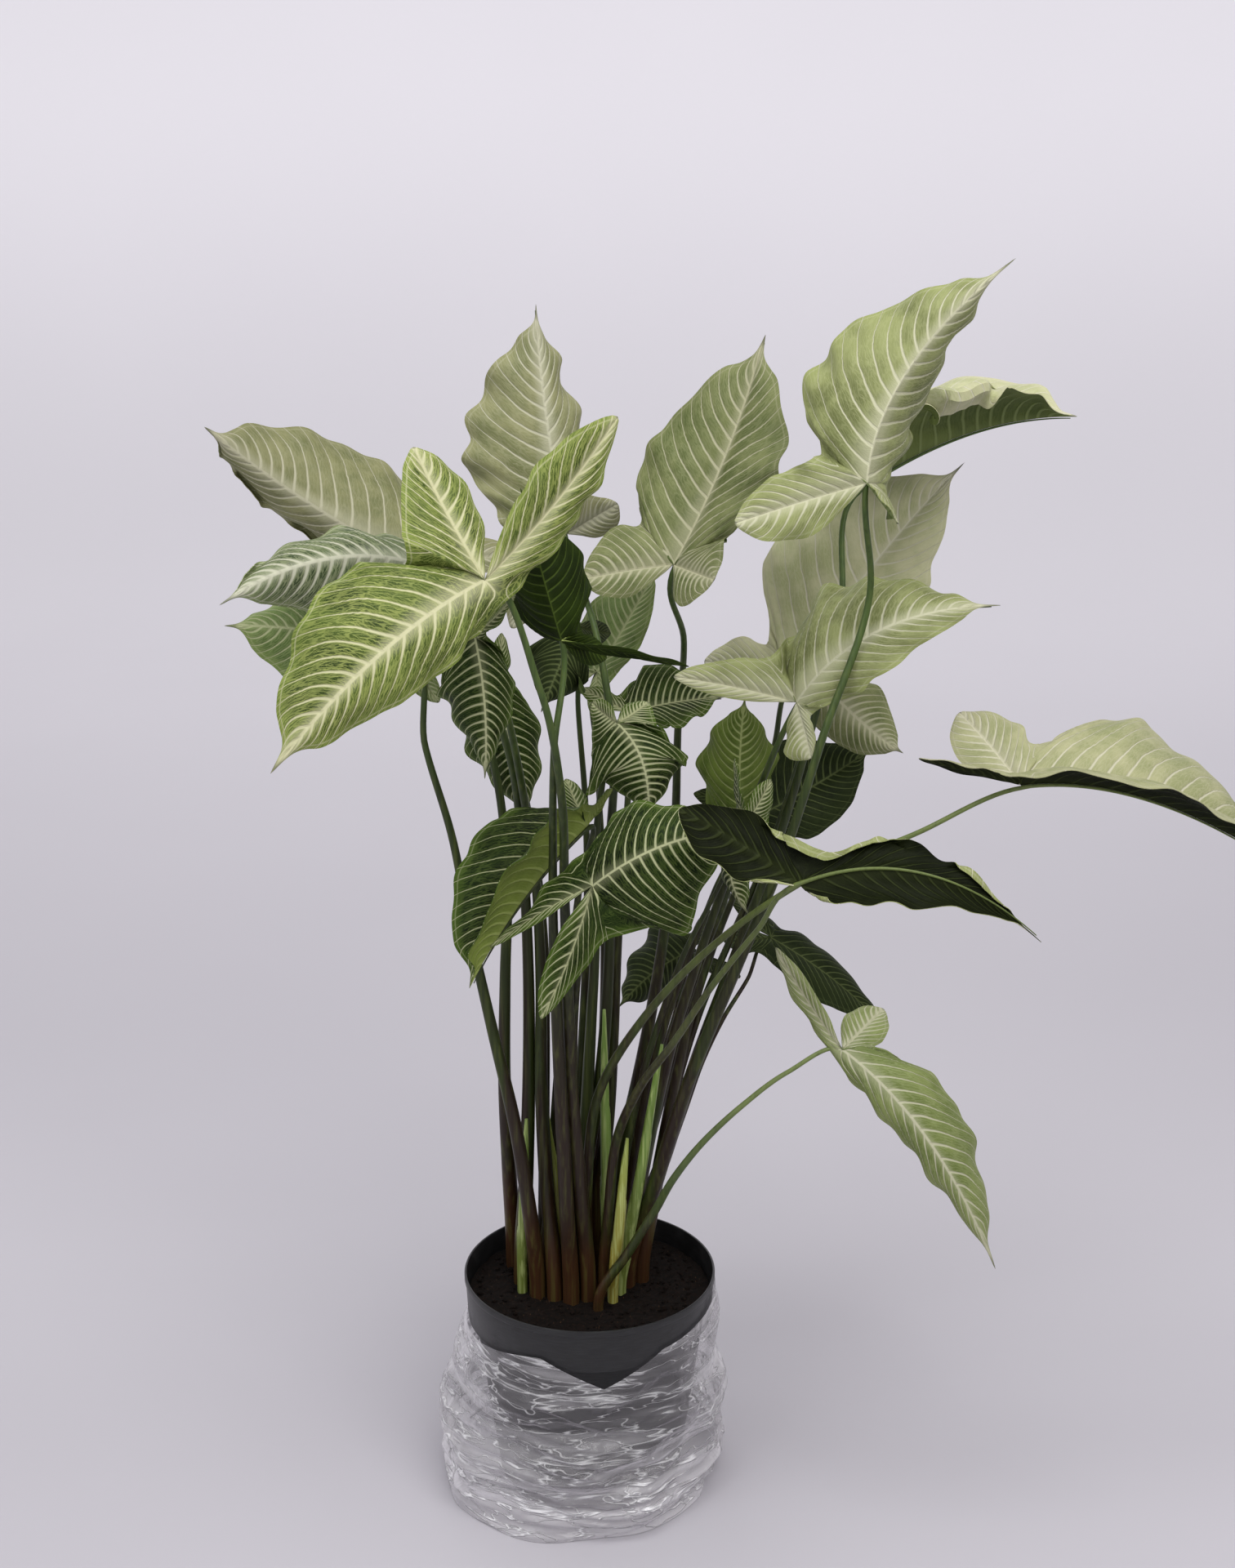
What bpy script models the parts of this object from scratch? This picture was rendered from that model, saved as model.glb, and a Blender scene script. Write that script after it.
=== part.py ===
"""Potted xanthosoma lindenii: 28 fronds and 5 rolled spears in a nursery pot with a clear sleeve.

Metres, +Z up. The origin is at the middle of the pot's foot and the front of the plant faces -Y.
"""
from math import cos, pi, radians, sin

import bmesh
import bpy
import numpy as np

POT_HEIGHT = 0.240
RIM_RADIUS = 0.135
COLLAR_HEIGHT = 0.050
FOOT_RADIUS = 0.098
WALL = 0.0025
SOIL_TOP = 0.218
GAP = 0.0004
BLADE_THICKNESS = 0.0010
STALK_FOOT_RADIUS = 0.0090
STALK_TOP_RADIUS = 0.0028
STALK_FOOT = 0.190
STALK_CLEAR_OF_SOIL = 0.230
SLEEVE_THICKNESS = 0.0008

# Fronds are laid out as they look from the front: centimetres to the right of and above the
# line of sight, measured at SIGHT from the eye, then centimetres toward the viewer.
EYE = np.array((0.03, -2.24, 1.475))
SIGHT = 2.272
SIGHT_TILT = radians(17.1)

WIDEST = 0.38
# Stations along the midrib and along a lobe, with the half-width there as a share of the widest.
MAIN = np.array((1.0, 0.95, 0.88, 0.78, 0.66, 0.52, 0.38, 0.25, 0.12))
MAIN_WIDTH = np.array((0.0, 0.09, 0.25, 0.49, 0.72, 0.91, 1.0, 0.96, 0.80))
OUTER = np.array((0.30, 0.50, 0.70, 0.86, 0.95))
OUTER_WIDTH = np.array((0.98, 1.0, 0.84, 0.52, 0.25))
# Where a web adds to the outer half-width.
WEB = np.array((1.0, 0.35, 0.0, 0.0, 0.0))
# How far the outline of the blade and of a lobe keep from the line that parts them at the stalk,
# as shares of the blade's and the lobe's length.
PARTING_MAIN = np.array((0, 0, 0, 0, 0, 0.16, 0.11, 0.06, 0.025))
PARTING_LOBE = np.array((0.04, 0.07, 0.08, 0.09, 0.09))
INNER = np.array((0.94, 0.78, 0.55, 0.32, 0.13))
INNER_WIDTH = np.array((0.34, 0.80, 1.0, 0.80, 0.35))

ROWS = (7, 2, 3, 3)
SMALL_ROWS = (5, 2, 2, 2)
COLUMNS = 2
STALK_POINTS = 10

# rib: stalk joint, middle, tip. edges: widest left, widest right. lobes: left tip, right tip, or
# None for a lobe at its usual place. form: fullness of the tip, then the lobes' half-widths as
# shares of their length (left outer, left inner, right outer, right inner) and how far a web
# between blade and lobe adds to the outer ones at their start (left, right). foot: centimetres
# right of the pot's middle and away from the viewer. stalk: points from the soil to the leaf.
FRONDS = {
    "front_left": {
        "rib": ((-13, 20, 22), (-23.5, 12.5, 30), (-34, 1, 33)),
        "edges": ((-17, 11, 27), (-26.5, 21.5, 24)),
        "lobes": ((0, 36, 13), (-20, 33, 16)),
        "form": (0.85, 0.15, 0.19, 0.28, 0.25, 0, 0.18),
        "foot": (-0.2, -2.4),
        "stalk": ((-5, -26.5, 6), (-5.5, -11, 11), (-6.5, 5, 17), (-9.5, 14, 20)),
    },
    "high_left": {
        "rib": ((-20, 21.5, 1), (-31, 28, -2), (-40.5, 35, 0)),
        "edges": ((-29.5, 24, -6), (-24, 32, -8)),
        "lobes": (None, None),
        "form": (0.85, 0.22, 0.18, 0.22, 0.18, 0, 0),
        "foot": (-8.4, 5.2),
        "stalk": ((-11, -27, -1), (-11, -3, -2), (-13.5, 9, -1), (-17, 17, 0)),
    },
    "mid_left": {
        "rib": ((-19, 21.5, 10), (-29, 22, 13), (-39, 17.5, 15)),
        "edges": ((-27.5, 16, 10), (-25.5, 25, 7)),
        "lobes": (None, None),
        "form": (1, 0.22, 0.18, 0.22, 0.18, 0, 0),
        "foot": (-7.4, 1.4),
        "stalk": ((-8.5, -29, -1), (-9, -8, -1), (-11.5, 6.5, 4), (-15.5, 15, 6)),
    },
    "low_left": {
        "rib": ((-20.5, 13, 6), (-29.5, 15, 8), (-38.5, 15.5, 9)),
        "edges": ((-28.5, 8, 8), (-27.5, 18.5, 2)),
        "lobes": ((-17.5, 8, 4), None),
        "form": (1, 0.22, 0.18, 0.22, 0.18, 0, 0),
        "foot": (-5.9, -0.6),
        "stalk": ((-9.5, -37, 3), (-14, -17, 3), (-17, -2, 3), (-20, 8, 5)),
    },
    "top_left": {
        "rib": ((-5, 24.5, -12), (-7, 36.5, -14), (-8, 47, -16)),
        "edges": ((-15, 33, -13), (-3.5, 35, -18)),
        "lobes": (None, (0, 27.5, -11)),
        "form": (1.3, 0.22, 0.18, 0.5, 0.42, 0, 0),
        "foot": (-2.2, 6.7),
        "stalk": ((-1, -27, -3), (-0.5, -3, -3), (-0.5, 8, -2), (-2, 14.5, -4), (-3.5, 21, -9)),
    },
    "centre_tall": {
        "rib": ((5.5, 21.5, -4), (10.5, 32, -7), (14.5, 44, -9)),
        "edges": ((2.5, 32, -11), (17.5, 32, -1)),
        "lobes": ((-3.5, 20, -5), (9.5, 20, 1)),
        "form": (0.9, 0.53, 0.3, 0.85, 0.58, 0, 0),
        "foot": (1.2, 8.4),
        "stalk": ((2.5, -27, -8), (5.5, -7, -13), (6, 6.5, -16), (6.5, 15, -10)),
    },
    "top_right": {
        "rib": ((24.5, 29.5, 12), (28.5, 40.5, 10), (39, 51.5, 7)),
        "edges": ((19.5, 41.5, 5), (30, 37.5, 1)),
        "lobes": ((11.5, 25.5, 11), (27.5, 25.5, 15)),
        "form": (1.25, 0.26, 0.26, 0.5, 0.45, 0, 0.5),
        "foot": (3.8, 0.4),
        "stalk": ((8.5, -24.5, 6), (14.5, -11, 8), (20.5, 6.5, 9), (25, 20.5, 7)),
    },
    "back_right": {
        "rib": ((23.5, 29, -12), (34.5, 34.5, -14), (45, 36, -12)),
        "edges": ((30, 39, -24), (30, 38, -3)),
        "lobes": (None, None),
        "form": (0.75, 0.22, 0.18, 0.22, 0.18, 0, 0),
        "foot": (5.2, 7.4),
        "stalk": ((8.5, -23, -5), (14.5, -7, -4), (17.5, 1, -4), (19.5, 9.5, -4), (22.5, 21, -9)),
    },
    "behind_right": {
        "rib": ((17, 10.5, -20), (25.5, 22, -22), (34, 31.5, -20)),
        "edges": ((15, 23.5, -24), (29, 16.5, -19)),
        "lobes": ((8.5, 12, -21), (22.5, 6, -19)),
        "form": (1.2, 0.34, 0.3, 0.2, 0.2, 0, 0),
        "foot": (3.2, 9.4),
        "stalk": ((6.5, -23, -10), (11.5, -8, -16), (15, 2.5, -22), (16.5, 8, -22)),
    },
    "mid_right": {
        "rib": ((17.5, 8, 4), (25.5, 15, 6), (37.5, 17.5, 4)),
        "edges": ((20.5, 19, -2), (25, 10, 8)),
        "lobes": ((5.5, 10.5, 2), (19, 2.5, 8)),
        "form": (1.1, 0.2, 0.1, 0.2, 0.52, 0.1, 0),
        "foot": (3.6, 2.6),
        "stalk": ((6, -23, 1), (11.5, -7, 1), (14.5, 1, 2), (16.5, 5, 2)),
    },
    "hang_right": {
        "rib": ((20, 10, -8), (24, 6, -8), (28, 3, -7)),
        "edges": ((26, 9, -11), (20.5, 4.5, -9)),
        "lobes": (None, None),
        "form": (1, 0.22, 0.18, 0.22, 0.18, 0, 0),
        "foot": (5.6, 4.6),
        "stalk": ((7.5, -24, -5), (13.5, -9.5, -5), (17, 1, -7), (19.5, 6.5, -9)),
    },
    "far_right": {
        "rib": ((39.5, 0, 10), (52.5, -1.5, 12), (66.5, -9, 9)),
        "edges": ((50.5, 6.5, 0), (49.5, 0.5, 18)),
        "lobes": ((33.5, 7, 1), (29.5, 2.5, 12)),
        "form": (0.7, 0.34, 0.3, 0.16, 0.12, 0, 0),
        "foot": (-0.2, 0.8),
        "stalk": ((-1.5, -29.5, 3), (5, -20, 6), (16.5, -10.5, 9), (26.5, -5.5, 11), (34.5, -3.5, 11)),
    },
    "front_right": {
        "rib": ((18, -10, 26), (30, -9, 28), (41.5, -15.5, 27)),
        "edges": ((27, -12, 31), (26.5, -5.5, 24)),
        "lobes": ((22, -11, 22), (6, -2.5, 24)),
        "form": (1.5, 0.2, 0.2, 0.26, 0.26, 0, 0),
        "foot": (1.4, -1.6),
        "stalk": ((1, -31.5, 6), (4, -27.5, 11), (9.5, -19.5, 17), (14, -14, 21)),
    },
    "back_low": {
        "rib": ((15, -15, -18), (21, -19, -20), (26.5, -24, -20)),
        "edges": ((22, -17.5, -23), (18.5, -20.5, -17)),
        "lobes": (None, None),
        "form": (1, 0.22, 0.18, 0.22, 0.18, 0, 0),
        "foot": (5.6, 9.4),
        "stalk": ((6, -33.5, -10), (9.5, -24.5, -13), (12.5, -19.5, -16), (14, -17, -17)),
    },
    "low_right": {
        "rib": ((22, -26, 10), (30.5, -35, 14), (37, -47.5, 12)),
        "edges": ((33, -30, 9), (27, -34, 12)),
        "lobes": ((26, -22, 4), (15.5, -16, 6)),
        "form": (0.9, 0.3, 0.3, 0.13, 0.13, 0, 0),
        "foot": (1, -3.9),
        "stalk": ((4, -41, 5), (6.5, -37, 8), (11.5, -32, 9), (17, -28, 10)),
    },
    "hang_left": {
        "rib": ((-14, 14.5, 14), (-13, 7.5, 17), (-13, 0.5, 15)),
        "edges": ((-10, 9, 14), (-17.5, 9, 12)),
        "lobes": ((-10, 18.5, 17), (-18, 17.5, 15)),
        "form": (1, 0.22, 0.18, 0.22, 0.18, 0, 0),
        "foot": (-4, -1.4),
        "stalk": ((-7.5, -31, 0), (-8, -11, -2), (-10, 2.5, 4), (-12.5, 12, 10)),
    },
    "under_left": {
        "rib": ((-12, 9, -2), (-10, 2.5, -2), (-9, -3.5, -3)),
        "edges": ((-7, 3, -5), (-14.5, 2.5, -5)),
        "lobes": (None, None),
        "form": (1, 0.22, 0.18, 0.22, 0.18, 0, 0),
        "foot": (-5, 3.4),
        "stalk": ((-7, -27, -1), (-7.5, -11, -3), (-9.5, 1, -4), (-11, 7, -3)),
    },
    "centre_back": {
        "rib": ((-5.5, 14, 14), (-7.5, 21, 15), (-9.5, 29, 13)),
        "edges": ((-10.5, 18.5, 8), (-2.5, 19.5, 11)),
        "lobes": ((7, 11.5, 11), None),
        "form": (1, 0.1, 0.12, 0.2, 0.2, 0, 0),
        "foot": (-2.2, -2.8),
        "stalk": ((-5.5, -26.5, 7), (-6, -9, 11), (-6, 5, 16), (-5.5, 11, 16)),
    },
    "dark_centre": {
        "rib": ((-2, 11, -14), (1, 16, -17), (4, 21.5, -18)),
        "edges": ((-2.5, 18, -19), (2.5, 14, -16)),
        "lobes": (None, None),
        "form": (1, 0.22, 0.18, 0.22, 0.18, 0, 0),
        "foot": (-0.6, 9.8),
        "stalk": ((-1.5, -27, -9), (-1.5, -7, -11), (-2, 3, -13), (-2, 9, -14)),
    },
    "dark_left": {
        "rib": ((-4, 15.5, -6), (-5.5, 12, -4), (-7.5, 7, -3)),
        "edges": ((-1.5, 11.5, -9), (-9.5, 12, -7)),
        "lobes": (None, None),
        "form": (1, 0.22, 0.18, 0.22, 0.18, 0, 0),
        "foot": (-2.8, 5.4),
        "stalk": ((-3.5, -27, -4), (-3, -7, -8), (-3.5, 5, -10), (-3.5, 13, -9)),
    },
    "veined_mid": {
        "rib": ((1, 7, -7), (5.5, 8, -8), (10.5, 8.5, -9)),
        "edges": ((4.5, 12, -12), (6, 5.5, -3)),
        "lobes": (None, None),
        "form": (1, 0.22, 0.18, 0.22, 0.18, 0, 0),
        "foot": (0.2, 4.4),
        "stalk": ((-1, -27, -4), (0, -11, -6), (1, 1, -8), (1, 5, -8)),
    },
    "veined_front": {
        "rib": ((0, 6, 6), (2.5, 2, 9), (3, -3.5, 8)),
        "edges": ((8, 2.5, 4), (-5, 3, 4)),
        "lobes": ((3, 8, 3), (-2.5, 8, 3)),
        "form": (0.8, 0.5, 0.3, 0.5, 0.3, 0.5, 0.5),
        "foot": (-1.2, 2.8),
        "stalk": ((-2.5, -27, -2), (-1.5, -11, -1), (-1, 0, -1), (-0.5, 3.5, 1)),
    },
    "young_right": {
        "rib": ((12, -4.5, -3), (12, 2.5, -2), (12.5, 8.5, -3)),
        "edges": ((8, 0, -6), (15.5, 0.5, -6)),
        "lobes": (None, None),
        "form": (1, 0.22, 0.18, 0.22, 0.18, 0, 0),
        "foot": (2.6, 5.2),
        "stalk": ((4.5, -24, -3), (8.5, -13, -4), (11, -7, -3), (12, -5, -3)),
    },
    "dark_right": {
        "rib": ((14, -3, -9), (19.5, 0, -12), (25, 3.5, -14)),
        "edges": ((18, 5.5, -16), (20.5, -4.5, -10)),
        "lobes": (None, None),
        "form": (1, 0.22, 0.18, 0.22, 0.18, 0, 0),
        "foot": (5.6, 2),
        "stalk": ((7.5, -22.5, -4), (11, -12, -7), (13.5, -5.5, -9), (14, -3.5, -9)),
    },
    "front_centre": {
        "rib": ((-2.5, -10, 18), (4.5, -6, 20), (12, -4.5, 16)),
        "edges": ((1, -2, 15), (6, -15, 20)),
        "lobes": ((-12.5, -16, 14), (-7.5, -23, 18)),
        "form": (1, 0.07, 0.07, 0.1, 0.14, 0.18, 0.1),
        "foot": (-1.9, -0.8),
        "stalk": ((-4.5, -29.5, 3), (-4, -19, 7), (-3, -13.5, 12), (-2.5, -11, 16)),
    },
    "front_low": {
        "rib": ((-3, -4, 4), (-9.5, -11.5, 10), (-14.5, -20, 13)),
        "edges": ((-10.5, -8, 15), (-17, -9, 9)),
        "lobes": ((-0.5, -0.5, -1), (-5, 0.5, -2)),
        "form": (0.75, 0.22, 0.18, 0.22, 0.18, 0, 0),
        "foot": (-4.5, 1),
        "stalk": ((-6, -27, 0), (-4.5, -15, 0), (-3.5, -8, 2), (-3, -5, 3)),
    },
    "low_back": {
        "rib": ((7, -16.5, -15), (3.5, -18.5, -16), (0, -22, -16)),
        "edges": ((6.5, -20, -19), (2.5, -15, -20)),
        "lobes": ((12, -19, -18), None),
        "form": (1, 0.22, 0.18, 0.22, 0.18, 0, 0),
        "foot": (2.4, 7.2),
        "stalk": ((3, -30.5, -9), (5.5, -23, -16), (6.5, -19, -19), (7, -17.5, -18)),
    },
    "small_right": {
        "rib": ((12.5, -4, 5), (11, -8.5, 7), (13, -13, 6)),
        "edges": ((14, -9, 5), (9.5, -10, 4)),
        "lobes": ((15, 0.5, 3), (11.5, 2.5, 4)),
        "form": (1, 0.3, 0.25, 0.3, 0.3, 0.1, 0.1),
        "foot": (1.8, 2.4),
        "stalk": ((3.5, -25, 1), (8, -13.5, 3), (10.5, -9, 3.5), (12, -6, 4.5)),
    },
}

# Fronds with a slender stalk, as a share of the usual thickness.
SLENDER = {
    "low_right": 0.62,
    "back_low": 0.55,
    "small_right": 0.6,
    "hang_right": 0.7,
    "low_back": 0.65,
    "young_right": 0.8,
    "dark_left": 0.75,
    "dark_centre": 0.75,
    "under_left": 0.8,
    "front_right": 0.72,
    "far_right": 0.7,
}

# Small blades, laid out with fewer rows.
SMALL = (
    "dark_left", "dark_centre", "under_left", "low_back", "small_right", "hang_right", "back_low",
    "veined_mid",
)

# Rolled young leaves: foot as above, tip right, away and up in centimetres.
SPEARS = {
    "spear_middle": ((1.9, 0.4), (1.6, 0.0, 54.0)),
    "spear_tall": ((3.4, -1.2), (7.6, -2.2, 51.0)),
    "spear_front": ((2.5, -3.0), (4.0, -3.6, 41.0)),
    "spear_yellow": ((-3.0, 0.4), (-4.4, 0.4, 42.0)),
    "spear_left": ((-7.2, -0.7), (-6.6, -1.0, 42.0)),
}


def unit(v):
    return v / np.maximum(np.linalg.norm(v, axis=-1, keepdims=True), 1e-9)


def seen(across, up, toward):
    """The point seen `across` and `up` from the line of sight, `toward` the viewer from the axis."""
    ahead = np.array((0.0, cos(SIGHT_TILT), -sin(SIGHT_TILT)))
    upward = np.array((0.0, sin(SIGHT_TILT), cos(SIGHT_TILT)))
    line = ahead + (np.array((1.0, 0.0, 0.0)) * across + upward * up) / 100 / SIGHT
    return EYE + line * (-toward / 100 - EYE[1]) / line[1]


def through(knots, points, at):
    """Reads a smooth curve through the points, which lie at the knots."""
    knots = np.asarray(knots, float)
    points = np.asarray(points, float)
    at = np.clip(np.asarray(at, float), knots[0], knots[-1])
    slopes = np.gradient(points, knots, axis=0)
    i = np.clip(np.searchsorted(knots, at, side="right") - 1, 0, len(knots) - 2)
    step = (knots[i + 1] - knots[i])[:, None]
    t = (at - knots[i])[:, None] / step
    return (
        (2 * t**3 - 3 * t**2 + 1) * points[i]
        + (t**3 - 2 * t**2 + t) * step * slopes[i]
        + (3 * t**2 - 2 * t**3) * points[i + 1]
        + (t**3 - t**2) * step * slopes[i + 1]
    )


def turned(v, start, end):
    """Turns v the shortest way that takes the direction start to each direction in end."""
    axis = np.cross(start, end)
    once = np.cross(axis, v)
    return v + once + np.cross(axis, once) / (1 + end @ start)[:, None]


class Arc:
    """A curve with one even bend, read at shares of its way from 0 to 1."""

    def __init__(self, start, bend, end):
        self.start = start
        self.bend = bend
        self.end = end

    def at(self, s):
        s = np.asarray(s, float)[:, None]
        return (1 - s) ** 2 * self.start + 2 * s * (1 - s) * self.bend + s**2 * self.end

    def heading(self, s):
        s = np.asarray(s, float)[:, None]
        return unit((1 - s) * (self.bend - self.start) + s * (self.end - self.bend))


def placed_points(points):
    return [None if p is None else seen(*p) for p in points]


def midrib(frond):
    base, middle, tip = placed_points(frond["rib"])
    return Arc(base, 2 * middle - (base + tip) / 2, tip)


def half_blade(frond, side, rows, columns, phase):
    """Lays out one half of a blade, side 0 being the left, as a grid of points.

    Its rows start at the tip, come down the midrib, fan out round the stalk, go out along the
    lobe's outer side and come back along its inner side. Columns run from rib to margin.
    """
    rib = midrib(frond)
    sign = (-1, 1)[side]
    along = rib.heading([WIDEST])[0]
    reach = placed_points(frond["edges"])[side] - rib.at([WIDEST])[0]
    reach = reach - along * (reach @ along)
    first = rib.heading([0.0])
    out = turned(reach, along, first)[0]
    first = first[0]
    top = unit(np.cross(sign * out, first))

    lobe_tip = placed_points(frond["lobes"])[side]
    if lobe_tip is None:
        blade_length = np.linalg.norm(rib.end - rib.start)
        lobe_tip = rib.start + 0.85 * out - 0.36 * blade_length * first
    length = np.linalg.norm(lobe_tip - rib.start)
    lobe = Arc(rib.start, (rib.start + lobe_tip) / 2 + unit(out) * 0.07 * length, lobe_tip)
    lobe_way = (lobe_tip - rib.start) / length
    lobe_top = unit(top - lobe_way * (top @ lobe_way))
    outward = np.cross(lobe_way, lobe_top)
    if outward @ (unit(out) + first) < 0:
        outward = -outward

    fullness = frond["form"][0]
    outer_share, inner_share = frond["form"][1 + 2 * side:3 + 2 * side]
    outer_width = OUTER_WIDTH * outer_share + WEB * frond["form"][5 + side]
    main_width = MAIN_WIDTH**fullness
    parting = unit(first - lobe_way)
    main_edge = rib.at(MAIN) + turned(reach, along, rib.heading(MAIN)) * main_width[:, None]
    lobe_edge = lobe.at(OUTER) + outward * (outer_width * length)[:, None]
    over = PARTING_MAIN * np.linalg.norm(rib.end - rib.start) - (main_edge - rib.start) @ parting
    main_edge = main_edge + parting * np.maximum(over, 0)[:, None]
    over = (lobe_edge - rib.start) @ parting + PARTING_LOBE * length
    lobe_edge = lobe_edge - parting * np.maximum(over, 0)[:, None]
    outline = np.vstack(
        (
            main_edge,
            lobe_edge,
            lobe_tip[None],
            lobe.at(INNER) - outward * (INNER_WIDTH * inner_share * length)[:, None],
            rib.start[None],
        )
    )
    knots = np.arange(len(outline), dtype=float)
    last_main = len(MAIN) - 1
    at_lobe_tip = len(MAIN) + len(OUTER)

    s = 1 - np.linspace(0, 1, rows[0] + 1)
    station = s + 0.12 * (1 - s) + 0.20 * s * (1 - s)
    at = [np.interp(-station, -MAIN, np.arange(len(MAIN)))]
    skeleton = [rib.at(s)]
    way = [rib.heading(s)]
    tops = [unit(np.cross(sign * turned(reach, along, rib.heading(s)), rib.heading(s)))]

    f = np.linspace(0, 1, rows[1] + 1)[1:]
    at.append(last_main + 0.9 * f)
    skeleton.append(np.repeat(rib.start[None], rows[1], 0))
    way.append(unit(first * (1 - f[:, None]) + lobe.heading([0.0]) * f[:, None]))
    tops.append(unit(top * (1 - f[:, None]) + lobe_top * f[:, None]))

    t = np.linspace(0, 1, rows[2] + 1)[1:]
    station = t + 0.16 * (1 - t) + 0.20 * t * (1 - t)
    places = np.r_[last_main + 0.9, last_main + 1 + np.arange(len(OUTER) + 1)]
    at.append(np.interp(station, np.r_[0.16, OUTER, 1.0], places))
    skeleton.append(lobe.at(t))
    way.append(lobe.heading(t))
    tops.append(np.repeat(lobe_top[None], rows[2], 0))

    t = 1 - np.linspace(0, 1, rows[3] + 1)[1:]
    station = t + 0.12 * t * (1 - t)
    places = at_lobe_tip + np.arange(len(INNER) + 2)
    at.append(np.interp(-station, -np.r_[1.0, INNER, 0.0], places))
    skeleton.append(lobe.at(t))
    way.append(lobe.heading(t))
    tops.append(np.repeat(lobe_top[None], rows[3], 0))

    at = np.concatenate(at)
    skeleton = np.vstack(skeleton)
    tops = np.vstack(tops)
    edge = through(knots, outline, at)
    span = edge - skeleton
    width = np.linalg.norm(span, axis=1)[:, None]
    bend = skeleton + 0.5 * span - np.vstack(way) * width * 0.10
    wave = 0.07 * np.minimum(width, 0.05) * np.sin(pi * 0.92 * at + phase)[:, None]
    grid = []
    for c in np.linspace(0, 1, columns + 1):
        line = (1 - c) ** 2 * skeleton + 2 * c * (1 - c) * bend + c**2 * edge
        grid.append(line + tops * (width * 0.40 * c * (1 - c) + wave * c**2))
    return np.stack(grid, 1)


def stalk_radius(name, count):
    share = SLENDER.get(name, 1.0)
    t = np.linspace(0, 1, count)
    radius = STALK_TOP_RADIUS + (STALK_FOOT_RADIUS - STALK_TOP_RADIUS) * (1 - t) ** 1.3
    return radius * share ** (1 - 0.4 * t)


def even_points(points, count):
    """Spaces count points evenly along the smooth curve through the points."""
    steps = np.r_[0, np.cumsum(np.linalg.norm(np.diff(points, axis=0), axis=1))]
    dense = through(steps, points, np.linspace(0, steps[-1], 200))
    steps = np.r_[0, np.cumsum(np.linalg.norm(np.diff(dense, axis=0), axis=1))]
    return through(steps, dense, np.linspace(0, steps[-1], count))


def stalk_route(frond):
    """From the soil to the blade, ending just under the start of its midrib."""
    x, y = frond["foot"]
    foot = np.array((x / 100, y / 100, STALK_CLEAR_OF_SOIL))
    rib = midrib(frond)
    points = np.vstack((foot[None], placed_points(frond["stalk"]), rib.at([0.0])))
    return even_points(points, STALK_POINTS - 2)


def spear_route(foot, tip):
    foot = np.array((foot[0] / 100, foot[1] / 100, STALK_CLEAR_OF_SOIL))
    tip = np.array(tip) / 100
    bow = np.array((0.0, -0.006, 0.0))
    return even_points(np.vstack((foot, (foot + tip) / 2 + bow, tip)), STALK_POINTS - 2)


def spear_radius(count):
    t = np.linspace(0, 1, count)
    return 0.0012 + 0.0050 * np.sin(pi * (0.32 + 0.66 * t)) ** 0.8


def nearest(p1, d1, p2, d2):
    """Shares of the way along two segments at which they come nearest to each other."""
    r = p1 - p2
    a = np.sum(d1 * d1, 1)
    e = np.maximum(np.sum(d2 * d2, 1), 1e-12)
    b = np.sum(d1 * d2, 1)
    c = np.sum(d1 * r, 1)
    f = np.sum(d2 * r, 1)
    flat = np.maximum(a * e - b * b, 1e-12)
    s = np.where(a > 1e-10, np.clip((b * f - c * e) / flat, 0, 1), 0.0)
    t = np.clip((b * s + f) / e, 0, 1)
    s = np.where(a > 1e-10, np.clip((b * t - c) / np.maximum(a, 1e-12), 0, 1), 0.0)
    return s, t


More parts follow.
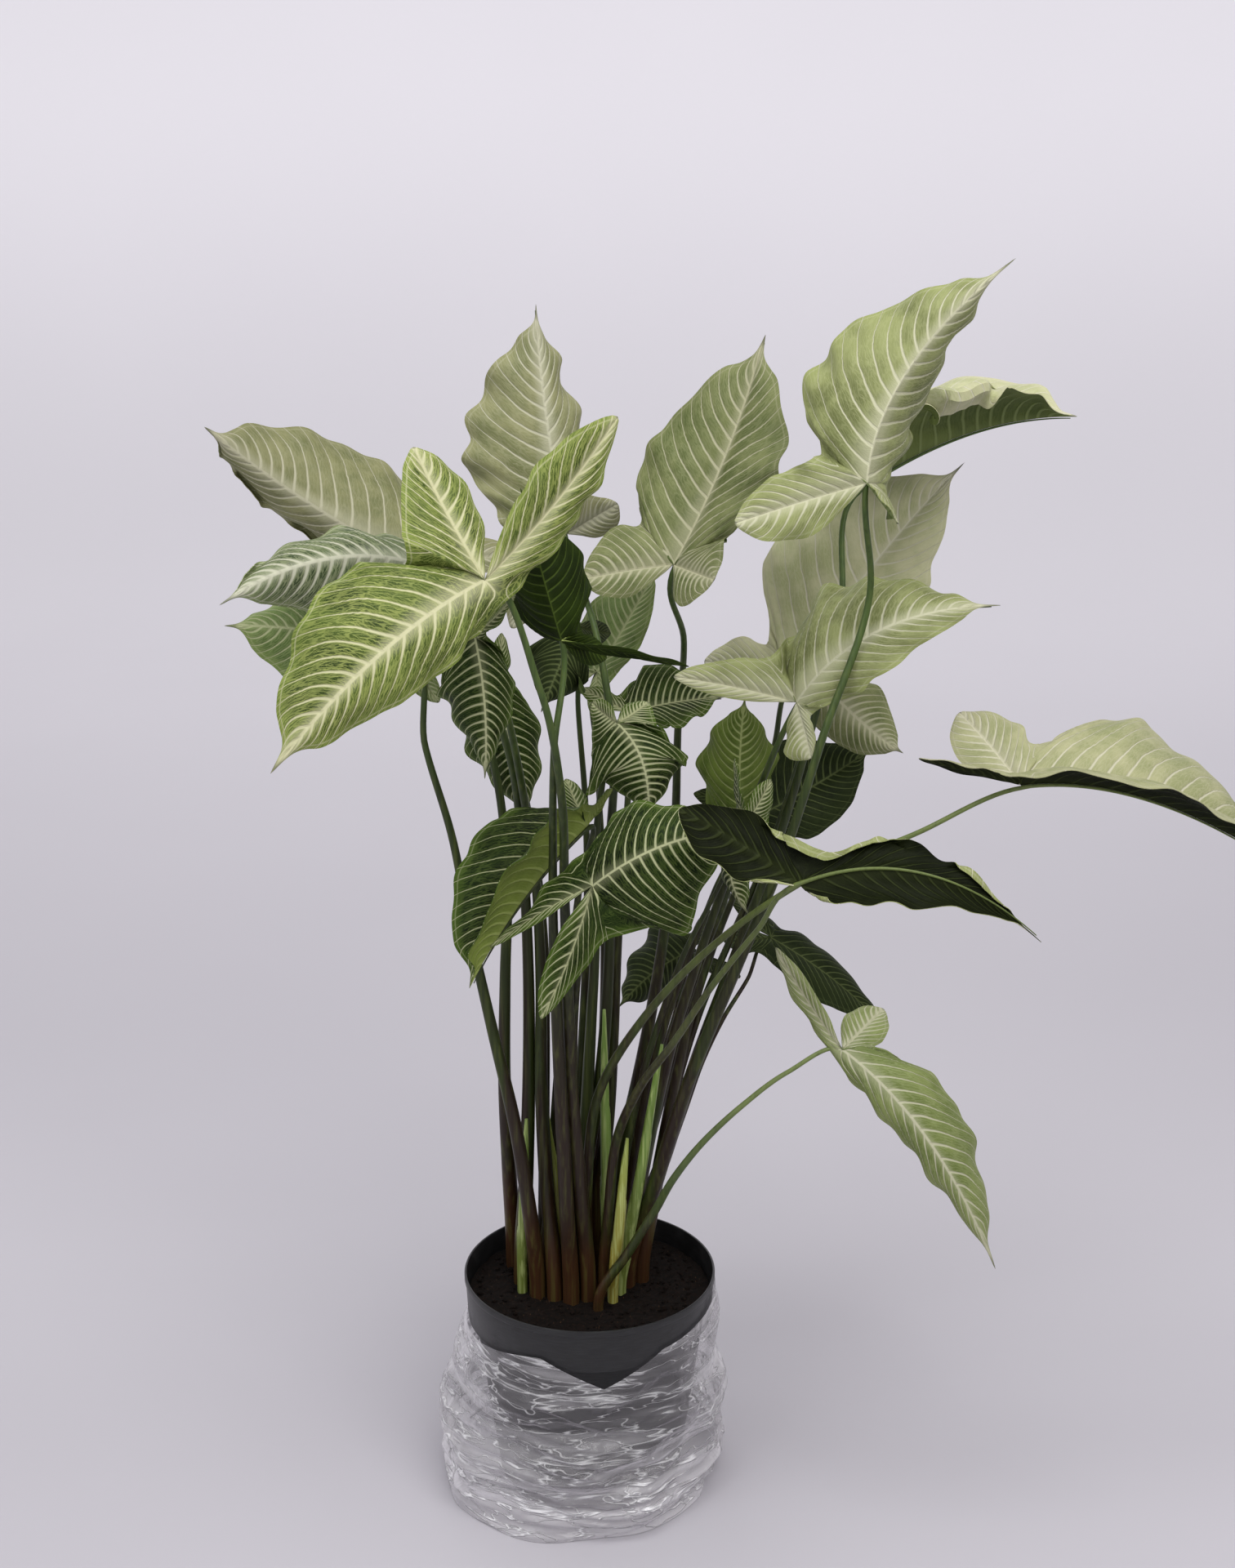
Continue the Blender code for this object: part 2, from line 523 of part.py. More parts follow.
def eased_apart(routes, radii, obstacles, owners, clearance=0.0016, rounds=260):
    """Bends crossing stalks clear of each other and of the blades, both ends staying in place."""
    start = np.array(routes)
    count, length = start.shape[:2]
    moved = np.zeros_like(start)
    cane = np.repeat(np.arange(count), length - 1)
    low = np.concatenate([k * length + np.arange(length - 1) for k in range(count)])
    first, second = np.triu_indices(len(low), 1)
    apart = cane[first] != cane[second]
    first = first[apart]
    second = second[apart]
    thick = np.array(radii).reshape(-1)
    free = np.ones((count, length, 1))
    free[:, -1] = 0.0
    free[:, -2] = 0.35
    for turn in range(rounds):
        flat = (start + moved).reshape(-1, 3)
        if turn % 20 == 0:
            centres = (flat[low] + flat[low + 1]) / 2
            far = np.linalg.norm(centres[first] - centres[second], axis=1) < 0.12
            near_first = first[far]
            near_second = second[far]
            o, s = np.nonzero(np.linalg.norm(obstacles[:, None] - centres[None], axis=2) < 0.07)
            other = owners[o] != cane[s]
            o = o[other]
            s = s[other]
        push = np.zeros_like(flat)
        hits = np.full((len(flat), 1), 1e-9)
        a = low[near_first]
        b = low[near_second]
        u, v = nearest(flat[a], flat[a + 1] - flat[a], flat[b], flat[b + 1] - flat[b])
        u = u[:, None]
        v = v[:, None]
        offset = flat[a] * (1 - u) + flat[a + 1] * u - flat[b] * (1 - v) - flat[b + 1] * v
        distance = np.linalg.norm(offset, axis=1, keepdims=True)
        need = (
            thick[a, None] * (1 - u) + thick[a + 1, None] * u
            + thick[b, None] * (1 - v) + thick[b + 1, None] * v + clearance
        )
        short = np.maximum(need - distance, 0) * 0.55 * offset / np.maximum(distance, 1e-6)
        for index, weight, way in ((a, 1 - u, 1), (a + 1, u, 1), (b, 1 - v, -1), (b + 1, v, -1)):
            np.add.at(push, index, short * weight * way)
            np.add.at(hits, index, weight * (need > distance))
        a = low[s]
        segment = flat[a + 1] - flat[a]
        u = np.sum((obstacles[o] - flat[a]) * segment, 1) / np.sum(segment * segment, 1)
        u = np.clip(u, 0, 1)[:, None]
        offset = flat[a] + segment * u - obstacles[o]
        distance = np.linalg.norm(offset, axis=1, keepdims=True)
        need = thick[a, None] * (1 - u) + thick[a + 1, None] * u + 0.0065
        short = np.maximum(need - distance, 0) * offset / np.maximum(distance, 1e-6)
        for index, weight in ((a, 1 - u), (a + 1, u)):
            np.add.at(push, index, short * weight)
            np.add.at(hits, index, weight * (need > distance))
        moved += (push / np.maximum(hits, 1.0)).reshape(start.shape) * free
        moved[:, 0, 2] = 0.0
        reach = np.linalg.norm((start + moved)[:, 0, :2], axis=1, keepdims=True)
        limit = RIM_RADIUS - 0.022
        moved[:, 0, :2] -= (start + moved)[:, 0, :2] * np.maximum(reach - limit, 0) / reach
        if turn < rounds - 90:
            inner = moved[:, 1:-1]
            moved[:, 1:-1] = inner + 0.22 * (moved[:, :-2] + moved[:, 2:] - 2 * inner)
    return start + moved


def whole_stalk(route, frond):
    """Adds the upright foot in the soil and, for a frond, the end that runs into its midrib."""
    foot = route[0].copy()
    foot[2] = STALK_FOOT
    if frond is None:
        return np.vstack((foot, route))
    rib = midrib(frond)
    end = rib.at([0.045])[0]
    return np.vstack((foot, route, end))


def material(name, colour, roughness):
    made = bpy.data.materials.new(name)
    made.use_nodes = True
    shader = made.node_tree.nodes["Principled BSDF"]
    shader.inputs["Base Color"].default_value = (*colour, 1.0)
    shader.inputs["Roughness"].default_value = roughness
    shader.inputs["Metallic"].default_value = 0.0
    return made


def placed(name, mesh, collection, look):
    obj = bpy.data.objects.new(name, mesh)
    if look is not None:
        mesh.materials.clear()
        mesh.materials.append(look)
    collection.objects.link(obj)
    return obj


def applied(obj):
    """Replaces the object's mesh with its evaluated one and drops its modifiers."""
    depsgraph = bpy.context.evaluated_depsgraph_get()
    mesh = bpy.data.meshes.new_from_object(obj.evaluated_get(depsgraph))
    obj.modifiers.clear()
    obj.data = mesh
    return obj


def tube(name, points, radii, collection, look):
    """A six-sided tube along the points, welded into one closed mesh."""
    curve = bpy.data.curves.new(name, "CURVE")
    curve.dimensions = "3D"
    curve.bevel_depth = 1.0
    curve.bevel_resolution = 1
    curve.use_fill_caps = True
    spline = curve.splines.new("POLY")
    spline.points.add(len(points) - 1)
    for point, place, radius in zip(spline.points, points, radii):
        point.co = (*place, 1.0)
        point.radius = radius
    guide = bpy.data.objects.new(name + "_line", curve)
    collection.objects.link(guide)
    depsgraph = bpy.context.evaluated_depsgraph_get()
    mesh = bpy.data.meshes.new_from_object(guide.evaluated_get(depsgraph))
    bpy.data.objects.remove(guide)
    bm = bmesh.new()
    bm.from_mesh(mesh)
    bmesh.ops.remove_doubles(bm, verts=bm.verts, dist=0.00001)
    bmesh.ops.triangulate(bm, faces=bm.faces)
    bm.to_mesh(mesh)
    bm.free()
    return placed(name, mesh, collection, look)


def blade(name, frond, phase, collection, look):
    """Both halves of a blade, welded along the ribs, split into triangles and given thickness."""
    split = SMALL_ROWS if name[6:] in SMALL else ROWS
    verts = []
    faces = []
    for side in (0, 1):
        grid = half_blade(frond, side, split, COLUMNS, phase + side)
        rows, columns = grid.shape[:2]
        base = len(verts)
        verts.extend(map(tuple, grid.reshape(-1, 3)))
        for r in range(rows - 1):
            for c in range(columns - 1):
                a = base + r * columns + c
                b = a + columns
                if side:
                    faces.extend(((a, b, b + 1), (a, b + 1, a + 1)))
                else:
                    faces.extend(((a, b + 1, b), (a, a + 1, b + 1)))
    mesh = bpy.data.meshes.new(name)
    mesh.from_pydata(verts, [], faces)
    bm = bmesh.new()
    bm.from_mesh(mesh)
    bmesh.ops.remove_doubles(bm, verts=bm.verts, dist=0.00005)
    bmesh.ops.dissolve_degenerate(bm, dist=0.00005, edges=bm.edges)
    bmesh.ops.triangulate(bm, faces=bm.faces)
    bm.to_mesh(mesh)
    bm.free()
    obj = placed(name, mesh, collection, look)
    thick = obj.modifiers.new("Thickness", "SOLIDIFY")
    thick.thickness = BLADE_THICKNESS
    thick.offset = 0.0
    return applied(obj)


def joined(obj, other):
    union = obj.modifiers.new("Joined", "BOOLEAN")
    union.operation = "UNION"
    union.solver = "MANIFOLD"
    union.object = other
    applied(obj)
    bpy.data.objects.remove(other)
    return obj


def turned_solid(name, profile, steps, collection, look):
    mesh = bpy.data.meshes.new(name)
    verts = [(r, 0.0, z) for r, z in profile]
    mesh.from_pydata(verts, [(i, i + 1) for i in range(len(verts) - 1)], [])
    obj = placed(name, mesh, collection, look)
    screw = obj.modifiers.new("Turned", "SCREW")
    screw.steps = steps
    screw.render_steps = steps
    screw.use_merge_vertices = True
    screw.merge_threshold = 0.00005
    return applied(obj)


def cylinder(name, radius, low, high, x, y, sides, collection):
    bpy.ops.mesh.primitive_cylinder_add(
        vertices=sides, radius=radius, depth=high - low, location=(x, y, (low + high) / 2)
    )
    obj = bpy.context.active_object
    obj.name = name
    for owner in obj.users_collection:
        owner.objects.unlink(obj)
    collection.objects.link(obj)
    obj.hide_render = True
    obj.display_type = "WIRE"
    return obj


def pot_wall(inset):
    """The pot's inner wall from its floor up to the rim, moved in by the inset."""
    step = POT_HEIGHT - COLLAR_HEIGHT
    under_collar = RIM_RADIUS - 0.0115
    return [
        (FOOT_RADIUS - WALL - inset, WALL + inset),
        (under_collar - WALL - inset, step - 0.001 + inset),
        (RIM_RADIUS - 0.0035 - WALL - inset, step + WALL + inset),
        (RIM_RADIUS - WALL - inset, POT_HEIGHT),
    ]


def make_pot(collection, cutters):
    step = POT_HEIGHT - COLLAR_HEIGHT
    inside = pot_wall(0.0)
    profile = [(0.0, WALL)] + inside
    profile += [
        (RIM_RADIUS - 0.0006, POT_HEIGHT),
        (RIM_RADIUS, POT_HEIGHT - 0.0008),
        (RIM_RADIUS, POT_HEIGHT - 0.007),
        (RIM_RADIUS - 0.0035, step),
        (RIM_RADIUS - 0.0115, step - 0.003),
        (FOOT_RADIUS, 0.003),
        (FOOT_RADIUS - 0.002, 0.0),
        (0.0, 0.0),
    ]
    look = material("pot_plastic", (0.045, 0.048, 0.053), 0.45)
    pot = turned_solid("nursery_pot", profile, 32, collection, look)
    holes = bpy.data.collections.new("drain_holes")
    cutters.children.link(holes)
    for k in range(6):
        angle = 2 * pi * k / 6
        reach = 0.066
        cylinder(f"drain_{k}", 0.007, -0.01, 0.01, reach * cos(angle), reach * sin(angle), 10, holes)
    cut = pot.modifiers.new("Drained", "BOOLEAN")
    cut.operand_type = "COLLECTION"
    cut.collection = holes
    cut.operation = "DIFFERENCE"
    applied(pot)
    for hole in list(holes.objects):
        bpy.data.objects.remove(hole)
    return pot


def make_soil(collection, cutters, feet):
    inside = [p for p in pot_wall(GAP) if p[1] < SOIL_TOP]
    low = inside[-1]
    high = pot_wall(GAP)[-1]
    share = (SOIL_TOP - 0.003 - low[1]) / (high[1] - low[1])
    edge = (low[0] + (high[0] - low[0]) * share, SOIL_TOP - 0.003)
    profile = [(0.0, SOIL_TOP + 0.001), (0.070, SOIL_TOP), edge]
    profile += inside[::-1] + [(0.0, WALL + GAP)]
    look = material("peat", (0.022, 0.013, 0.009), 0.95)
    soil = turned_solid("soil", profile, 32, collection, look)
    holes = bpy.data.collections.new("stalk_holes")
    cutters.children.link(holes)
    for k, (x, y, radius) in enumerate(feet):
        reach = (radius + GAP) / cos(pi / 6)
        cylinder(f"hole_{k}", reach, STALK_FOOT - 0.001, POT_HEIGHT, x, y, 6, holes)
    cut = soil.modifiers.new("Planted", "BOOLEAN")
    cut.operand_type = "COLLECTION"
    cut.collection = holes
    cut.operation = "DIFFERENCE"
    cut.solver = "MANIFOLD"
    applied(soil)
    for hole in list(holes.objects):
        bpy.data.objects.remove(hole)
    return soil


def sleeve_point(angle, share):
    """The film's middle surface: share 0 is its hem on the floor, 1 its open top edge."""
    front = (angle + pi / 2 + pi) % (2 * pi) - pi
    notch = 0.034 * max(0.0, 1 - abs(front - 0.12) / 0.50)
    top = 0.205 + 0.015 * cos(angle - 0.2) + 0.006 * sin(3 * angle + 1.0) - notch
    height = SLEEVE_THICKNESS + share * top
    collar = RIM_RADIUS - 0.0035 * min(1.0, max(0.0, (POT_HEIGHT - height) / COLLAR_HEIGHT))
    hem = 0.149 + 0.011 * cos(angle - pi) * (1 - 0.5 * share)
    loose = 1 - share**3
    radius = hem + 0.005 * sin(pi * share)
    radius += 0.004 * sin(2 * pi * 2.6 * share + 2 * sin(2 * angle)) + 0.003 * sin(5 * angle + 7 * share)
    radius += 0.002 * sin(9 * angle - 4 * share)
    radius = (collar + 0.0021) * (1 - loose) + radius * loose
    return radius * cos(angle), radius * sin(angle), height


def make_sleeve(collection):
    around = 26
    rings = 8
    verts = [
        sleeve_point(2 * pi * k / around, ring / (rings - 1))
        for ring in range(rings) for k in range(around)
    ]
    faces = []
    for ring in range(rings - 1):
        for k in range(around):
            a = ring * around + k
            b = ring * around + (k + 1) % around
            faces.extend(((a, b, b + around), (a, b + around, a + around)))
    mesh = bpy.data.meshes.new("clear_sleeve")
    mesh.from_pydata(verts, [], faces)
    obj = placed("clear_sleeve", mesh, collection, material("clear_film", (0.85, 0.86, 0.87), 0.15))
    thick = obj.modifiers.new("Thickness", "SOLIDIFY")
    thick.thickness = SLEEVE_THICKNESS
    thick.offset = 0.0
    applied(obj)
    lowest = min(v.co.z for v in obj.data.vertices)
    for v in obj.data.vertices:
        v.co.z -= lowest
    return obj


def blade_samples(frond, phase):
    """Points spread over a blade, which other stalks keep clear of."""
    grids = [half_blade(frond, side, (10, 3, 5, 4), 5, phase + side) for side in (0, 1)]
    return np.vstack([grid.reshape(-1, 3) for grid in grids])


def main():
    for obj in list(bpy.data.objects):
        bpy.data.objects.remove(obj)
    collection = bpy.data.collections.new("Potted xanthosoma")
    cutters = bpy.data.collections.new("Cutters")
    bpy.context.scene.collection.children.link(collection)
    bpy.context.scene.collection.children.link(cutters)

    names = list(FRONDS) + list(SPEARS)
    count = STALK_POINTS - 2
    routes = [stalk_route(frond) for frond in FRONDS.values()]
    routes += [spear_route(*spear) for spear in SPEARS.values()]
    radii = [stalk_radius(name, count) for name in FRONDS] + [spear_radius(count)] * len(SPEARS)
    samples = [blade_samples(frond, k) for k, frond in enumerate(FRONDS.values())]
    owners = np.concatenate([np.full(len(points), k) for k, points in enumerate(samples)])
    routes = eased_apart(routes, radii, np.vstack(samples), owners)

    leaf_look = material("leaf", (0.25, 0.35, 0.13), 0.5)
    spear_look = material("young_leaf", (0.32, 0.42, 0.12), 0.5)
    feet = []
    for k, name in enumerate(names):
        frond = FRONDS.get(name)
        points = whole_stalk(routes[k], frond)
        radius = np.r_[radii[k][0], radii[k]]
        feet.append((points[0][0], points[0][1], radii[k][0]))
        if frond is None:
            tube(name, points, radius, collection, spear_look)
            continue
        radius = np.r_[radius, 0.0016]
        leaf = blade("frond_" + name, frond, k, collection, leaf_look)
        joined(leaf, tube(name + "_stalk", points, radius, collection, leaf_look))
    make_pot(collection, cutters)
    make_soil(collection, cutters, feet)
    make_sleeve(collection)


main()
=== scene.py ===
"""Potted xanthosoma lindenii, dressed for its photograph.

Metres, +Z up, the front facing -Y. Blades, stalks and rolled leaves follow the same layout as
the solids and add margins, veins, relief and thickness.
"""
from contextlib import contextmanager
from math import cos, pi, radians, sin

import bmesh
import bpy
import numpy as np
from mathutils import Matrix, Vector, noise


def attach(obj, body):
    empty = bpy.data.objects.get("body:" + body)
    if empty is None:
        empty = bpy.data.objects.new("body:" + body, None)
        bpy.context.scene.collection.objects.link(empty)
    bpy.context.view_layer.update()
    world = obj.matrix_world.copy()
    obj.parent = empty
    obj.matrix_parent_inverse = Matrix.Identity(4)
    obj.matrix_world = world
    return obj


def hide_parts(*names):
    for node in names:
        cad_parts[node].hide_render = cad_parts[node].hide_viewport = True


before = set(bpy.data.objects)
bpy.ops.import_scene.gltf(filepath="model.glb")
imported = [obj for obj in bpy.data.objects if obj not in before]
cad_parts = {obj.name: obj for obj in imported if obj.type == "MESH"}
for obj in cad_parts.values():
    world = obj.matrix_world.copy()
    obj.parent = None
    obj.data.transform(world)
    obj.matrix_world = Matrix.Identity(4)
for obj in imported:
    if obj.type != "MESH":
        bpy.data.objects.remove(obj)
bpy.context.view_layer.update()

POT_HEIGHT = 0.240
RIM_RADIUS = 0.135
COLLAR_HEIGHT = 0.050
FOOT_RADIUS = 0.098
WALL = 0.0025
SOIL_TOP = 0.218
STALK_FOOT_RADIUS = 0.0090
STALK_TOP_RADIUS = 0.0028
STALK_FOOT = 0.190
STALK_CLEAR_OF_SOIL = 0.230
SLEEVE_THICKNESS = 0.0008

# Fronds are laid out as they look from the front: centimetres to the right of and above the
# line of sight, measured at SIGHT from the eye, then centimetres toward the viewer.
EYE = np.array((0.03, -2.24, 1.475))
SIGHT = 2.272
SIGHT_TILT = radians(17.1)

WIDEST = 0.38
# Stations along the midrib and along a lobe, with the half-width there as a share of the widest.
MAIN = np.array((1.0, 0.95, 0.88, 0.78, 0.66, 0.52, 0.38, 0.25, 0.12))
MAIN_WIDTH = np.array((0.0, 0.09, 0.25, 0.49, 0.72, 0.91, 1.0, 0.96, 0.80))
OUTER = np.array((0.30, 0.50, 0.70, 0.86, 0.95))
OUTER_WIDTH = np.array((0.98, 1.0, 0.84, 0.52, 0.25))
# Where a web adds to the outer half-width.
WEB = np.array((1.0, 0.35, 0.0, 0.0, 0.0))
# How far the outline of the blade and of a lobe keep from the line that parts them at the stalk,
# as shares of the blade's and the lobe's length.
PARTING_MAIN = np.array((0, 0, 0, 0, 0, 0.16, 0.11, 0.06, 0.025))
PARTING_LOBE = np.array((0.04, 0.07, 0.08, 0.09, 0.09))
INNER = np.array((0.94, 0.78, 0.55, 0.32, 0.13))
INNER_WIDTH = np.array((0.34, 0.80, 1.0, 0.80, 0.35))
# A lobe at its usual place: how far out and back it reaches and how much it bows outward.
LOBE_OUT = 0.85
LOBE_BACK = 0.36
LOBE_BOW = 0.07
# How a half is cupped, how it bows toward the tip and how its margin waves, as shares of its width.
CUP = 0.40
BOW = 0.10
MARGIN_WAVE = 0.07

STALK_POINTS = 10
# How far stalks keep from each other, from other blades and, at the soil, from the pot's axis.
STALK_CLEARANCE = 0.0016
BLADE_CLEARANCE = 0.0065
FEET_WITHIN = RIM_RADIUS - 0.022
# How many rounds ease them apart, how many of the last ones leave the bends unsmoothed, after how
# many rounds neighbours are looked for again and how near to a stalk.
ROUNDS = 260
UNSMOOTHED_ROUNDS = 90
SEARCH_ROUNDS = 20
STALKS_NEAR = 0.12
BLADES_NEAR = 0.07
SMOOTHING = 0.22

